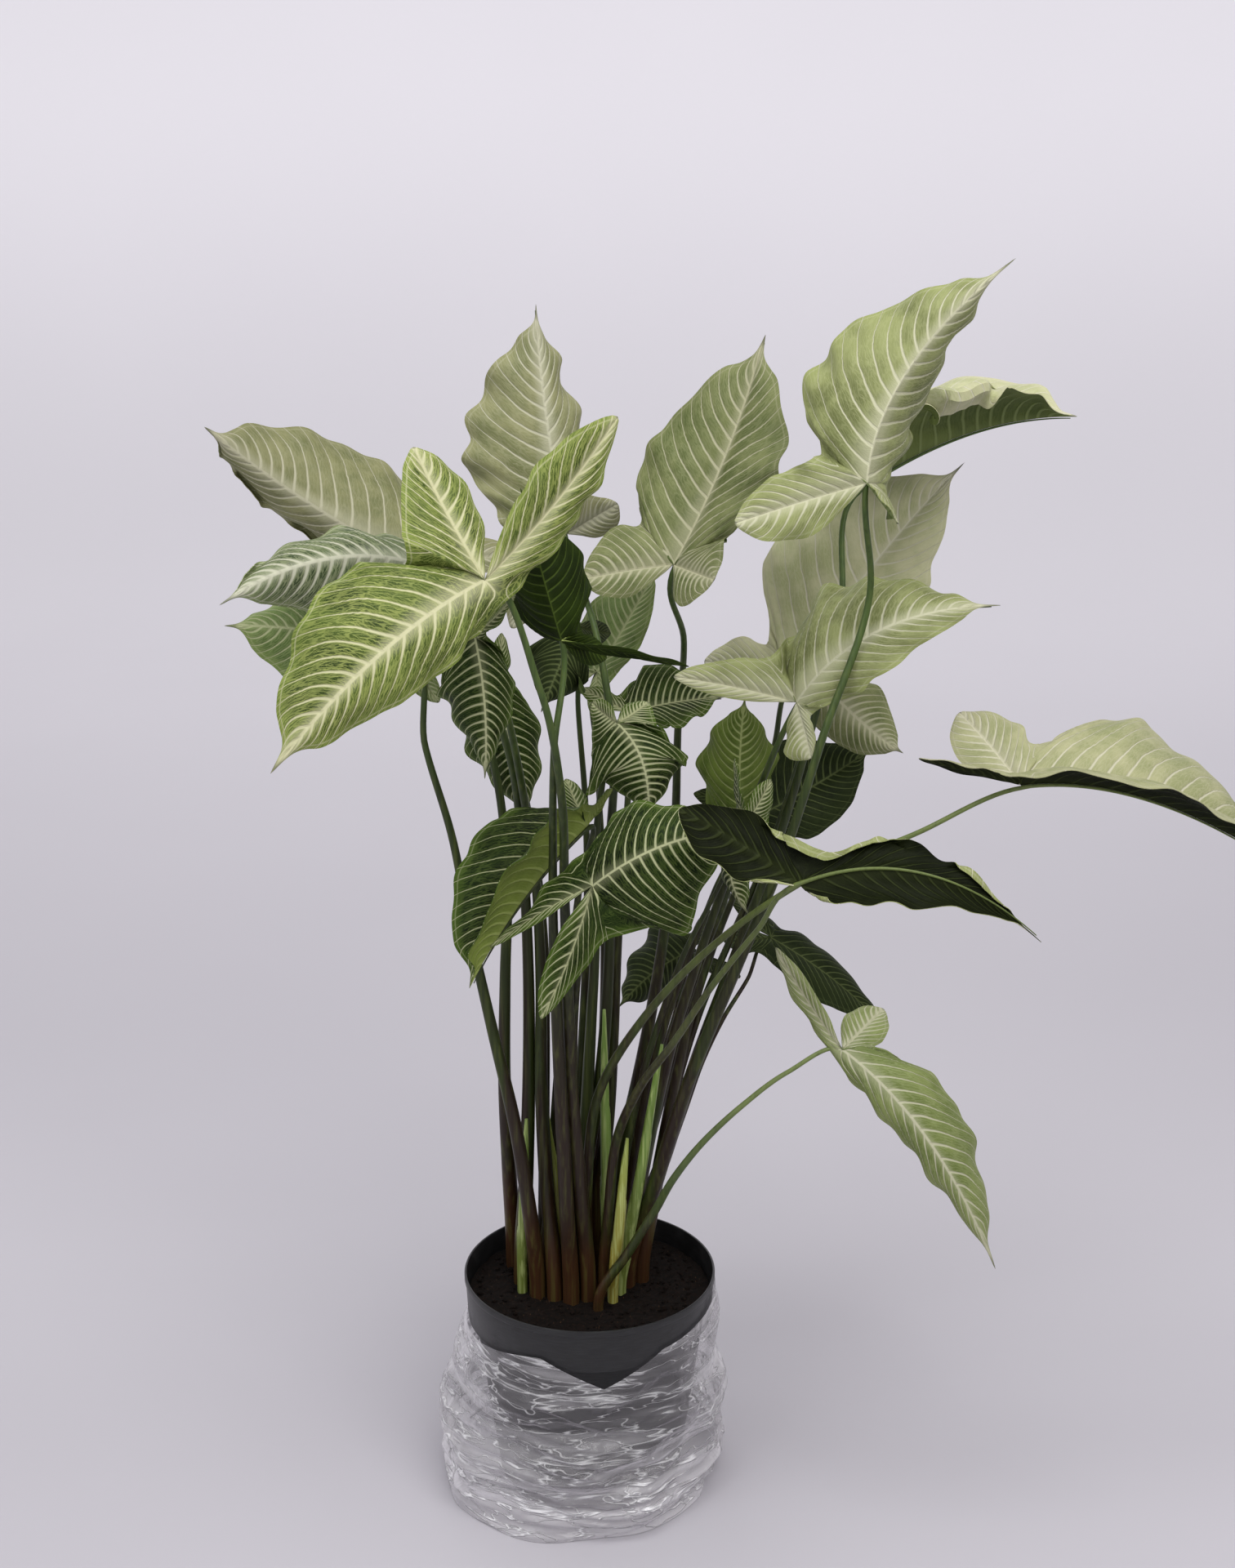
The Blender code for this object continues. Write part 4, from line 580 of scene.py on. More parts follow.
# Tones of the upper side: ground, second ground, veins, fine net, then how broad the veins are,
# how strong the fine net is and how far the pale band spreads from the midrib in metres.
TONES = {
    # Painted light in part: the pale and light grounds are the leaves' own pale green, lightened further
    # where strong light washes the upper sides out.
    "pale": ("#767b4f", "#98986c", "#cdcbb0", "#b4b290", 1.0, 0.40, 0.014),
    "straw": ("#6b7045", "#8b8b60", "#c2bfa3", "#a8a684", 1.0, 0.40, 0.014),
    "light": ("#999e6e", "#b8b88c", "#d6d3b8", "#c8c5a2", 0.9, 0.40, 0.010),
    "fresh": ("#727948", "#99a068", "#d0cfb0", "#b6ba88", 0.95, 0.42, 0.013),
    "dusky": ("#5b6737", "#7f8655", "#c2c09f", "#9fa276", 0.95, 0.45, 0.011),
    "bright": ("#273a10", "#4e6123", "#d8d6ac", "#b0ba68", 1.10, 0.74, 0.011),
    "silver": ("#273a1e", "#50633b", "#d2d2ba", "#a4ac82", 1.15, 0.8, 0.010),
    "veined": ("#0a1504", "#192b09", "#bfc297", "#66793a", 0.64, 0.45, 0.005),
    "green": ("#526a34", "#7a9150", "#bbc192", "#9caa70", 0.8, 0.55, 0.006),
    # Painted light: clear is a lighter copy of the light tone, brightened for blades at the back of the
    # plant as if more light fell on them.
    "clear": ("#b8bd8a", "#d5d4aa", "#e9e6ce", "#dddab8", 0.9, 0.40, 0.010),
    "stripe": ("#6e7d3f", "#8c9958", "#d3d2b2", "#b3ba88", 1.0, 0.45, 0.008),
    # Painted shade: shade is a darkened copy of the leaf greens, for blades that lie in shadow at the back
    # and middle of the plant.
    "shade": ("#1b2410", "#2c361a", "#616c42", "#3e4a27", 0.6, 0.40, 0.004),
    "young": ("#4c5f22", "#6f8238", "#a3ad70", "#83924f", 0.6, 0.40, 0.004),
    # Painted shade: grass is darkened for a blade whose upper side lies in the shadow of the leaves over
    # it.
    "grass": ("#1b2708", "#29390b", "#4d5f24", "#384816", 0.5, 0.15, 0.003),
}
# Tones of leaves that shine less.
DARK_TONES = ("shade", "grass", "young", "veined")
# Tones with a pale halo round the inner part of each side vein.
GLOWING_TONES = {"bright": 0.50, "silver": 0.45, "veined": 0.32}
# Tones toward the margin, where they differ from the second ground.
MARGINS = {
    "bright": "#869b45", "silver": "#93a562", "veined": "#5d7829", "green": "#86994f",
    "fresh": "#9fa965",
}
# Tones of the underside: ground, second ground, veins.
UNDERSIDES = {
    # Painted shade: the dark underside is nearly black, darkened for undersides turned to the front that
    # lie in their blade's shadow.
    "dark": ("#0b0f05", "#161b09", "#3c4424"),
    "pale": ("#525f33", "#69763f", "#8d9a66"),
    "deep": ("#384722", "#4b5a2c", "#72804f"),
    "bright": ("#72833a", "#889946", "#acb96e"),
}
# How wavy the margin of a frond is, where it differs from the others.
WAVY = {
    "top_left": 1.1, "top_right": 1.0, "behind_right": 0.8, "high_left": 0.3, "hang_left": 0.3,
    "far_right": 0.3, "back_right": 0.2, "mid_left": 0.5, "young_right": 0.4, "centre_tall": 0.5,
    "under_left": 0.4, "veined_front": 0.5, "front_centre": 0.5, "low_right": 0.5,
}
# Margins folded over: half of the blade, from and to along it, share of the width where the fold
# starts and its angle.
ROLLED = {
    "front_right": ((1, -0.42, 0.42, 0.75, -2.9), (1, 0.44, 0.88, 0.75, -2.9)),
    "high_left": ((0, 0.08, 0.44, 0.86, 2.8), (0, 0.44, 0.74, 0.82, 2.8), (0, 0.76, 0.97, 0.82, 2.8)),
    "mid_left": ((1, 0.62, 1.02, 0.75, 2.6),),
    "back_right": ((1, 0.05, 0.66, 0.60, -2.9),),
}
# Fronds with small blades.
SMALL = (
    "dark_left", "dark_centre", "under_left", "low_back", "small_right", "hang_right", "back_low",
    "veined_mid",
)
# Stalks: tone at the leaf, tone halfway and how far up the brown foot reaches.
STALKS = {
    "green": ("#485c2c", "#2b3519", 1.0),
    "pale": ("#7c8a50", "#5d6a38", 1.0),
    "low": ("#6f7d4a", "#4d5c34", 0.35),
}
STALK_OF = {"front_right": "pale", "far_right": "pale", "low_right": "low"}
YELLOW_SPEARS = ("spear_yellow", "spear_front")


def tint(text):
    """A colour written as #rrggbb, in linear light."""
    parts = [int(text[k:k + 2], 16) / 255 for k in (1, 3, 5)]
    return tuple(p / 12.92 if p <= 0.04045 else ((p + 0.055) / 1.055) ** 2.4 for p in parts) + (1.0,)


def calculated(operation):
    """A Math node between values and numbers, the first being a value."""

    def apply(*values):
        return values[0].look.node("Math", dict(enumerate(values)), operation=operation)

    return apply


class Value:
    """A node's output; sums of values and numbers add nodes of their own."""

    __add__ = calculated("ADD")
    __sub__ = calculated("SUBTRACT")
    __mul__ = calculated("MULTIPLY")
    __truediv__ = calculated("DIVIDE")
    __pow__ = calculated("POWER")
    __abs__ = calculated("ABSOLUTE")
    most = calculated("MAXIMUM")
    swing = calculated("PINGPONG")

    def __init__(self, look, socket):
        self.look = look
        self.socket = socket

    def __rsub__(self, other):
        return self * -1.0 + other

    def off_whole(self):
        """How far it is from the nearest whole number."""
        return self.swing(0.5)

    def ramp(self, low, high, start=0.0, end=1.0):
        """Passes smoothly from start at low to end at high."""
        names = ("Value", "From Min", "From Max", "To Min", "To Max")
        inputs = dict(zip(names, (self, low, high, start, end)))
        return self.look.node("MapRange", inputs, interpolation_type="SMOOTHSTEP")

    def fall(self, low, high):
        return self.ramp(low, high, 1.0, 0.0)

    def axis(self, number):
        return self.look.node("SeparateXYZ", {0: self}, number)


class Look:
    """A material; what goes into its nodes are numbers, values or #rrggbb colours."""

    def __init__(self, name):
        self.material = bpy.data.materials.new(name)
        self.material.use_nodes = True
        self.tree = self.material.node_tree
        self.shader = self.tree.nodes["Principled BSDF"]
        self.place = self.node("TexCoord", {}, "Object")

    def feed(self, socket, value):
        if isinstance(value, Value):
            self.tree.links.new(value.socket, socket)
        else:
            socket.default_value = tint(value) if isinstance(value, str) else value

    def node(self, kind, inputs, output=0, **settings):
        made = self.tree.nodes.new("ShaderNode" + kind)
        for key, value in settings.items():
            setattr(made, key, value)
        for key, value in inputs.items():
            self.feed(made.inputs[key], value)
        return Value(self, made.outputs[output])

    def noise(self, scale, detail, roughness=0.5, distortion=0.0, turn=(0.0, 0.0, 0.0), output=0):
        """Soft noise, drawn out where the scale has a number for each axis."""
        inputs = {"Vector": self.place, "Scale": scale}
        if isinstance(scale, tuple):
            inputs["Vector"] = self.node("Mapping", inputs | {"Rotation": turn})
            inputs["Scale"] = 1.0
        inputs |= {"Detail": detail, "Roughness": roughness, "Distortion": distortion}
        return self.node("TexNoise", inputs, output)

    def cells(self, inputs, **settings):
        """How far a point is from the edge of its cell."""
        return self.node("TexVoronoi", inputs, "Distance", feature="DISTANCE_TO_EDGE", **settings)

    def uv(self, name):
        both = self.node("UVMap", {}, uv_map=name)
        return both.axis(0), both.axis(1)

    def painted(self, colour, *layers):
        """Lays tones over a colour, each with its share."""
        for share, tone in layers:
            colour = self.node("Mix", {0: share, 6: colour, 7: tone}, 2, data_type="RGBA")
        return colour

    def bump(self, height, distance, strength=1.0):
        return self.node("Bump", {"Height": height, "Distance": distance, "Strength": strength})

    def finish(self, colour, roughness, normal, **inputs):
        inputs |= {"Base_Color": colour, "Roughness": roughness, "Normal": normal}
        for key, value in inputs.items():
            self.feed(self.shader.inputs[key.replace("_", " ")], value)
        return self.material

    def let_through(self, colour, share):
        """Lets part of the light through, as a thin leaf does."""
        glow = self.node("BsdfTranslucent", {"Color": colour})
        surface = Value(self, self.shader.outputs[0])
        both = self.node("MixShader", {0: share, 1: surface, 2: glow})
        self.feed(self.tree.nodes["Material Output"].inputs["Surface"], both)
        return self.material


def vein_masks(look, boldness, spread, glow=0.0):
    """How strongly a point lies on a side vein, the midrib, the fine net, the pale band along the
    midrib, the halo of a vein, the margin and the line inside the margin."""
    phase, column = look.uv("veins")
    spacing, width = look.uv("size")
    spacing = spacing * (1 / SPACING_SCALE)
    width = width * (1 / WIDTH_SCALE)
    phase = phase + (look.noise(55.0, 2.0) - 0.5) * 0.16 + (look.noise(20.0, 1.0) - 0.5) * 0.55
    away = phase.off_whole() * spacing
    reach = column * width
    inside = (1.0 - column) * width
    taper = (1.10 - column) ** 1.6 * (0.00118 * boldness) + 0.00025
    side = (away / taper).fall(0.45, 1.7)
    rib = reach.fall(0.0008 * boldness, 0.0024 * boldness)
    joint = abs(phase - (SIDE_VEINS + 1.0)).ramp(1.0, 8.0, 2.2, 1.0)
    band = (reach / joint).fall(0.0, spread)
    halo = away.fall(0.0, 0.0042 * boldness) * ((1.02 - column) ** 2.0 * glow + 0.16)

    bent = look.noise(75.0, 3.0, 0.6, output="Color")
    across = (away - reach * 0.30) * (1 / CELL_WIDTH) + bent.axis(0) * 1.1
    along = (reach + away * 0.30) * (1 / CELL_LENGTH) + bent.axis(1) * 0.9
    where = look.node("CombineXYZ", {0: across, 1: along})
    inputs = {"Vector": where, "Scale": 1.0, "Randomness": 0.9}
    long_cells = look.cells(inputs, voronoi_dimensions="2D").fall(0.04, 0.18)
    small_cells = look.cells({"Vector": look.place, "Scale": 420.0}).fall(0.02, 0.16)
    between = (phase * 4.0 + bent.axis(2) * 2.2).off_whole() * (spacing * 0.25)
    minor = between.fall(0.00015, 0.0007) * look.noise(120.0, 2.0).ramp(0.36, 0.50)
    net = (long_cells * 0.75).most(small_cells * 0.22).most(minor)
    net = net * (look.noise(38.0, 3.0).ramp(0.32, 0.62) * 0.35 + 0.65)
    edge = inside.fall(0.0, 0.014)
    hem = abs(inside - 0.0036).fall(0.0002, 0.0010)
    return side, rib, net, band, halo, edge, hem


def upper_look(tone):
    ground, second, vein, net_tone, boldness, net_share, spread = TONES[tone]
    look = Look("leaf_upper_" + tone)
    glow = GLOWING_TONES.get(tone, 0.10)
    side, rib, net, band, halo, edge, hem = vein_masks(look, boldness, spread, glow)
    tip = look.uv("size")[1] * (1 / WIDTH_SCALE)
    colour = look.painted(
        ground,
        (look.noise(24.0, 4.0, 0.6).ramp(0.35, 0.66), second),
        (edge * 0.55, MARGINS.get(tone, second)),
        (halo, net_tone),
        (net * net_share, net_tone),
        (look.noise(46.0, 6.0, 0.7).ramp(0.66, 0.76, 0.0, 0.55), "#3f5722"),
        (band * min(0.8, 45 * spread), vein),
        (hem * (0.55 * net_share), vein),
        (side * 0.92, vein),
        (rib, vein),
        (tip.ramp(0.0010, 0.0040, 0.60, 0.0), "#34401e"),
    )
    fine = look.noise(900.0, 2.0)
    normal = look.bump(side * -0.75 + net * -0.22 + fine * 0.10, 0.0007, 0.9)
    gloss = 0.10 if tone in DARK_TONES else 0.18
    look.finish(colour, fine * 0.12 + 0.42, normal, Specular_IOR_Level=gloss)
    return look.let_through(colour, 0.22)


def under_look(tone):
    ground, second, vein = UNDERSIDES[tone]
    look = Look("leaf_under_" + tone)
    side, _, net, band, *_ = vein_masks(look, 1.0, 0.008)
    mottle = look.noise(20.0, 4.0, 0.6).ramp(0.35, 0.66)
    veins = ((net * 0.16, vein), (side * 0.60, vein), (band * 0.25, vein))
    colour = look.painted(ground, (mottle, second), *veins)
    fine = look.noise(700.0, 2.0)
    normal = look.bump(side + fine * 0.10, 0.0008, 0.9)
    look.finish(colour, fine * 0.12 + 0.48, normal, Specular_IOR_Level=0.07)
    return look.let_through(colour, 0.22)


def stalk_look(kind):
    """Green above, purple-brown or olive below, browner at the soil, with fine lengthwise lines."""
    upper, middle, rise = STALKS[kind]
    look = Look("stalk_" + kind)
    height = look.place.axis(2) + (look.noise(16.0, 3.0) - 0.5) * 0.20
    height = (height - 0.22) / rise + 0.22
    lines = look.noise((260.0, 260.0, 9.0), 3.0)
    olive = look.noise((46.0, 46.0, 1.2), 1.0).ramp(0.50, 0.62)
    colour = look.painted(
        "#3e2615",
        (height.ramp(0.24, 0.36), look.painted("#261a11", (olive, "#2c3513"))),
        (height.ramp(0.42, 0.78), middle),
        (height.ramp(0.72, 1.02), upper),
        (lines.ramp(0.45, 0.75) * 0.22, "#71783a"),
        (lines.ramp(0.50, 0.25, 0.0, 0.35), "#20170f"),
    )
    return look.finish(colour, 0.42, look.bump(lines, 0.0005, 0.6), Specular_IOR_Level=0.28)


def spear_look(name):
    low, high = ("#8f8334", "#8c9c46") if name in YELLOW_SPEARS else ("#6a7734", "#6c8839")
    look = Look(name + "_skin")
    lines = look.noise((420.0, 420.0, 14.0), 3.0)
    light = (lines.ramp(0.42, 0.70, 0.0, 0.5), "#c2cf86")
    colour = look.painted(low, (look.place.axis(2).ramp(0.24, 0.44), high), light)
    return look.finish(colour, 0.42, look.bump(lines, 0.0006, 0.7))


def vein_rows(rows):
    """Vein phase, sweep sense and share of the way from the stalk joint for each row of a half."""
    s, f, t, b = row_places(rows)
    at_lobe = SIDE_VEINS + FAN_VEINS
    phase = np.r_[
        SIDE_VEINS * (1 - (0.7 * s + 0.3 * s * s)),
        SIDE_VEINS + FAN_VEINS * f,
        at_lobe + LOBE_VEINS * t,
        at_lobe + LOBE_VEINS * (1 + b),
    ]
    sense = np.r_[np.ones(len(s)), 1 - 2 * f, -np.minimum(1, (1 - t) * 8), np.minimum(1, b * 8)]
    return phase, sense, np.r_[s, 0 * f, -t, b - 1]


def rolled(grid, normal, along, low, high, start, turn):
    """Folds the margin back at the outline, toward the upper side if the turn is above 0.

    The columns up to start spread over the whole half and the others form the fold. It covers
    the rows between two places, counted from -1 at a lobe's tip to 1 at the tip.
    """
    share = np.clip(np.minimum(along - low, high - along) / (high - low) / 0.30, 0, 1)
    share = share * share * (3 - 2 * share)
    count = grid.shape[1] - 1
    folds = count - start
    c = np.arange(count + 1) / count
    inner = np.empty_like(grid[:, :start + 1])
    for r in range(len(grid)):
        at = c[:start + 1] * (1 + (count / start - 1) * share[r])
        inner[r] = np.stack([np.interp(at, c, grid[r, :, axis]) for axis in range(3)], 1)
    outer = grid[:, start:]
    step = np.linalg.norm(np.diff(outer, axis=1), axis=2).sum(axis=1) / folds
    angle = np.abs(turn) * share[:, None] * np.minimum(1, (np.arange(folds) + 0.5) / folds / 0.4)
    out = unit(inner[:, -1] - inner[:, -2])[:, None]
    up = normal[:, start][:, None] * np.sign(turn)
    up = unit(up - out * np.sum(up * out, axis=2, keepdims=True))
    ways = out * np.cos(angle)[:, :, None] + up * np.sin(angle)[:, :, None]
    made = inner[:, -1:] + np.cumsum(ways * step[:, None, None], axis=1)
    share = share[:, None, None]
    return np.concatenate((inner, outer[:, 1:] * (1 - share) + made * share), 1)


def rate(values, run, axis):
    """How fast the vein phase changes along one axis of the grid."""
    return np.gradient(values, axis=axis) / np.maximum(np.linalg.norm(run, axis=2), 1e-5)


def leaf_half(name, frond, side, rows, columns, phase):
    """Points, faces, texture places and normals of one half, with relief between its veins."""
    grid, tops, width = half_blade(frond, side, rows, columns, phase)
    c = np.linspace(0, 1, columns + 1)[None]
    vein, sense, along = vein_rows(rows)
    slim = np.clip((along - TIP_START) / TIP_PASSAGE, 0, 1)
    slim = 1 - TIP_SLIMMING * slim * slim * (3 - 2 * slim)
    grid = grid[:, :1] + (grid - grid[:, :1]) * slim[:, None, None]
    width = (width * slim)[:, None]
    vein = vein[:, None] + VEIN_SWEEP * sense[:, None] * c**1.3 + 0.37 * side
    down = np.gradient(grid, axis=0)
    across = np.gradient(grid, axis=1)
    normal = np.cross(across, down)
    facing = np.sum(normal * tops[:, None])
    if facing < 0:
        normal = -normal
    size = np.linalg.norm(normal, axis=2, keepdims=True)
    normal = np.where(size > 1e-12, normal / np.maximum(size, 1e-12), tops[:, None])
    share = np.r_[np.ones(rows[0] + 1), 1 - np.linspace(0, 1, rows[1] + 1)[1:]][:, None]
    middle = tops.copy()
    middle[:len(share)] += half_blade(frond, 1 - side, rows, columns, phase)[1][:len(share)] * share
    near = np.maximum(0, 1 - c / 0.15)[:, :, None]
    normal = unit(unit(middle)[:, None] * near + normal * (1 - near))
    steep = rate(vein, down, 0) ** 2 + rate(vein, across, 1) ** 2
    spacing = np.clip(1 / np.sqrt(np.maximum(steep, 1e-6)), 0.0015, 0.05)
    quilt = np.abs(np.sin(pi * vein)) ** 0.8 * np.minimum(1, 4 * c * (1 - c))
    lift = QUILT_HEIGHT * np.clip(spacing / 0.016, 0, 1.2) * (quilt - 0.35 * np.minimum(1, c / 0.12))
    hem = run_of(grid[:, -1])[:, None]
    wavy = WAVY.get(name, USUALLY_WAVY) * np.minimum(1, (width / WAVY_WIDTH) ** 2) * c**3
    wave = np.sin(2 * pi * hem / WAVE_LENGTH + 2.3 * phase + 0.8 * np.sin(hem / 0.031))
    bulge = np.sin(2 * pi * hem / BULGE_LENGTH + 1.3 * phase + 0.9 * np.sin(hem / 0.023))
    grid = grid + (grid - grid[:, :1]) * (BULGE_SHARE * wavy * bulge)[:, :, None]
    fade = np.minimum(1, width / 0.006)
    dip = MIDRIB_DIP * np.minimum(1, 4 * (1 - np.abs(along)))[:, None] * np.exp(-((c / 0.10) ** 2))
    grid = grid + normal * ((lift + WAVE_HEIGHT * wavy * wave) * fade - dip)[:, :, None]
    for at_side, low, high, start, turn in ROLLED.get(name, ()):
        if at_side == side and columns >= SMALL_COLUMNS:
            grid = rolled(grid, normal, along, low, high, round(start * columns), turn)
    faces = ring_quads(len(grid), columns + 1, closed=False)
    if facing < 0:
        faces = flipped(faces)
    veins = np.stack(np.broadcast_arrays(vein, c), 2).reshape(-1, 2)
    sizes = np.broadcast_arrays(spacing * SPACING_SCALE, width * WIDTH_SCALE)
    return grid.reshape(-1, 3), faces, veins, np.stack(sizes, 2).reshape(-1, 2), normal


def ring_quads(rings, around, closed=True):
    """Faces between rings of points, or between rows of points if they aren't closed."""
    faces = []
    for r in range(rings - 1):
        for k in range(around if closed else around - 1):
            a = r * around + k
            b = r * around + (k + 1) % around
            faces.append((a, b, b + around, a + around))
    return faces


def flipped(faces):
    return [face[:1] + face[:0:-1] for face in faces]


def turned_rings(profile, around):
    """Points round the axis at each radius and height of a profile."""
    angles = [2 * pi * k / around for k in range(around)]
    return [(radius * cos(a), radius * sin(a), z) for radius, z in profile for a in angles]


def ring_frame(points):
    """Two directions square to a line at each of its points, turning as little as they can."""
    ways = unit(np.gradient(points, axis=0))
    side = unit(np.cross(ways[0], (0.31, 0.87, 0.36)))
    sides = []
    for way in ways:
        side = unit(side - way * (side @ way))
        sides.append(side)
    sides = np.array(sides)
    return sides, np.cross(ways, sides)


def round_tube(points, radii, around, lap=1.0):
    """Vertices and faces of a closed tube along the points, lap times its radius wide."""
    sides, ups = ring_frame(points)
    angle = np.linspace(0, 2 * pi, around, endpoint=False)[None, :, None]
    ring = np.cos(angle) * sides[:, None] + np.sin(angle) * ups[:, None]
    verts = (points[:, None] + ring * (radii[:, None] * lap)[:, :, None]).reshape(-1, 3)
    first = tuple(range(around))
    last = tuple(range(len(verts) - around, len(verts)))
    return verts.tolist(), ring_quads(len(points), around) + [first[::-1], last]


def fine_line(points, radius, count):
    """The smooth curve through the points, and the radius along it."""
    steps = run_of(points)
    at = np.linspace(0, steps[-1], count)
    return through(steps, points, at), np.interp(at, steps, radius)


def smooth_mesh(name, verts, faces, *looks):
    mesh = bpy.data.meshes.new(name)
    mesh.from_pydata(verts, [], faces, shade_flat=False)
    for look in looks:
        mesh.materials.append(look)
    return mesh


@contextmanager
def edited(mesh):
    bm = bmesh.new()
    bm.from_mesh(mesh)
    yield bm
    bm.to_mesh(mesh)
    bm.free()


def add_part(bm, verts, faces, material):
    made = [bm.verts.new(v) for v in verts]
    for face in faces:
        item = bm.faces.new([made[i] for i in face])
        item.material_index = material
        item.smooth = True
    bmesh.ops.recalc_face_normals(bm, faces=[f for f in bm.faces if f.material_index == material])


def fill_uv(mesh, name, values):
    layer = mesh.uv_layers.new(name=name)
    corner = np.empty(len(mesh.loops), dtype=np.int32)
    mesh.loops.foreach_get("vertex_index", corner)
    layer.data.foreach_set("uv", np.asarray(values, dtype=np.float32)[corner].ravel())


def linked(name, data):
    made = bpy.data.objects.new(name, data)
    bpy.context.scene.collection.objects.link(made)
    return made


def sharpened(mesh, limit=0.9):
    with edited(mesh) as bm:
        for edge in bm.edges:
            if len(edge.link_faces) == 2 and edge.calc_face_angle(0.0) > limit:
                edge.smooth = False


def shown(name, mesh, node):
    """Adds a piece that stands for a node of the model."""
    piece = linked(name, mesh)
    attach(piece, "root")
    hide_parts(node)


def leaf_piece(name, frond, phase, stalk, radius, looks):
    """A frond: the blade made solid, its stalk and the ridge of its midrib on the underside."""
    rows, columns = (SMALL_ROWS, SMALL_COLUMNS) if name in SMALL else (FINE_ROWS, FINE_COLUMNS)
    halves = [leaf_half(name, frond, side, rows, columns, phase + side) for side in (0, 1)]
    points, faces, veins, sizes, _ = zip(*halves)
    faces = faces[0] + [tuple(i + len(points[0]) for i in face) for face in faces[1]]
    mesh = smooth_mesh("blade_" + name, np.vstack(points).tolist(), faces, *looks)
    fill_uv(mesh, "veins", np.vstack(veins))
    fill_uv(mesh, "size", np.vstack(sizes))
    with edited(mesh) as bm:
        bmesh.ops.remove_doubles(bm, verts=bm.verts, dist=0.00002)
        bmesh.ops.dissolve_degenerate(bm, dist=0.00001, edges=bm.edges)
    helper = linked("helper", mesh)
    thick = helper.modifiers.new("Thickness", "SOLIDIFY")
    thick.thickness = LEAF_THICKNESS
    thick.offset = 0.0
    thick.material_offset = 1
    solid = bpy.data.meshes.new_from_object(helper.evaluated_get(bpy.context.evaluated_depsgraph_get()))
    bpy.data.objects.remove(helper)

    above = leaf_half(name, frond, 0, (8, 1, 4, 4), 8, phase)[-1][8, 0]
    stalk = np.array(stalk)
    stalk[-1] -= above * STALK_SINKS[1]
    stalk[-2] -= above * STALK_SINKS[0]
    above = leaf_half(name, frond, 0, (RIDGE_POINTS - 1, 1, 8, 8), 8, phase)[-1][:RIDGE_POINTS, 0][::-1]
    s = np.linspace(0.0, 0.97, RIDGE_POINTS)
    thickness = STALK_TOP_RADIUS * 0.55 * (1 - s) ** 0.8 + 0.0004
    ridge = midrib(frond).at(s) - above * (0.0016 + 0.9 * thickness[:, None])
    with edited(solid) as bm:
        add_part(bm, *round_tube(*fine_line(stalk, radius, count=90), around=14), STALK_MATERIAL)
        add_part(bm, *round_tube(ridge, thickness, around=10), STALK_MATERIAL)
    sharpened(solid)
    shown("leaf_" + name, solid, "frond_" + name)


def spear_piece(name, points, radius):
    """A rolled leaf: a slim tube with one lapped seam winding up it."""
    count = 70
    around = 28
    line, radii = fine_line(points, radius, count)
    winding = 2.2 * np.arange(count)[:, None] / count
    angle = np.linspace(0, 2 * pi, around, endpoint=False)
    lap = 1.0 + 0.20 * ((angle / (2 * pi) + winding) % 1.0) - 0.10
    mesh = smooth_mesh(name, *round_tube(line, radii, around, lap), spear_look(name))
    sharpened(mesh)
    shown("rolled_" + name[6:], mesh, name)


def pot_piece():
    """The nursery pot turned finely, with a rolled rim, a collar step and faint draw marks."""
    top = POT_HEIGHT
    rim = RIM_RADIUS
    step = POT_HEIGHT - COLLAR_HEIGHT
    profile = (
        (0.0, 0.0025), (FOOT_RADIUS - WALL, 0.0025), (rim - 0.0115 - WALL, step - 0.001),
        (rim - 0.0035 - WALL, step + WALL), (rim - WALL - 0.0002, top - 0.0012),
        (rim - WALL + 0.0003, top - 0.0003), (rim - 0.0012, top), (rim - 0.0003, top - 0.0004),
        (rim, top - 0.0014), (rim, top - 0.0068), (rim - 0.0003, top - 0.0076),
        (rim - 0.0014, top - 0.0084), (rim - 0.0034, step + 0.0012), (rim - 0.0042, step),
        (rim - 0.0108, step - 0.0024), (rim - 0.0118, step - 0.0040), (FOOT_RADIUS + 0.0004, 0.0045),
        (FOOT_RADIUS - 0.0004, 0.0016), (FOOT_RADIUS - 0.002, 0.0002), (0.0, 0.0002),
    )
    around = 144
    look = Look("pot_plastic_skin")
    lines = look.noise((60.0, 60.0, 700.0), 2.0)
    dust = look.noise(38.0, 5.0, 0.65).ramp(0.48, 0.74)
    drawn = (lines.ramp(0.40, 0.70, 0.0, 0.25), "#303234")
    colour = look.painted("#131314", (dust * 0.35, "#282726"), drawn)
    look.finish(colour, dust * 0.22 + 0.38, look.bump(look.noise(1500.0, 2.0) + lines, 0.00012, 0.7))
    faces = ring_quads(len(profile), around)
    mesh = smooth_mesh("pot", turned_rings(profile, around), faces, look.material)
    with edited(mesh) as bm:
        bmesh.ops.remove_doubles(bm, verts=bm.verts, dist=0.00001)
        bmesh.ops.recalc_face_normals(bm, faces=bm.faces)
    sharpened(mesh, 0.6)
    shown("pot_body", mesh, "nursery_pot")


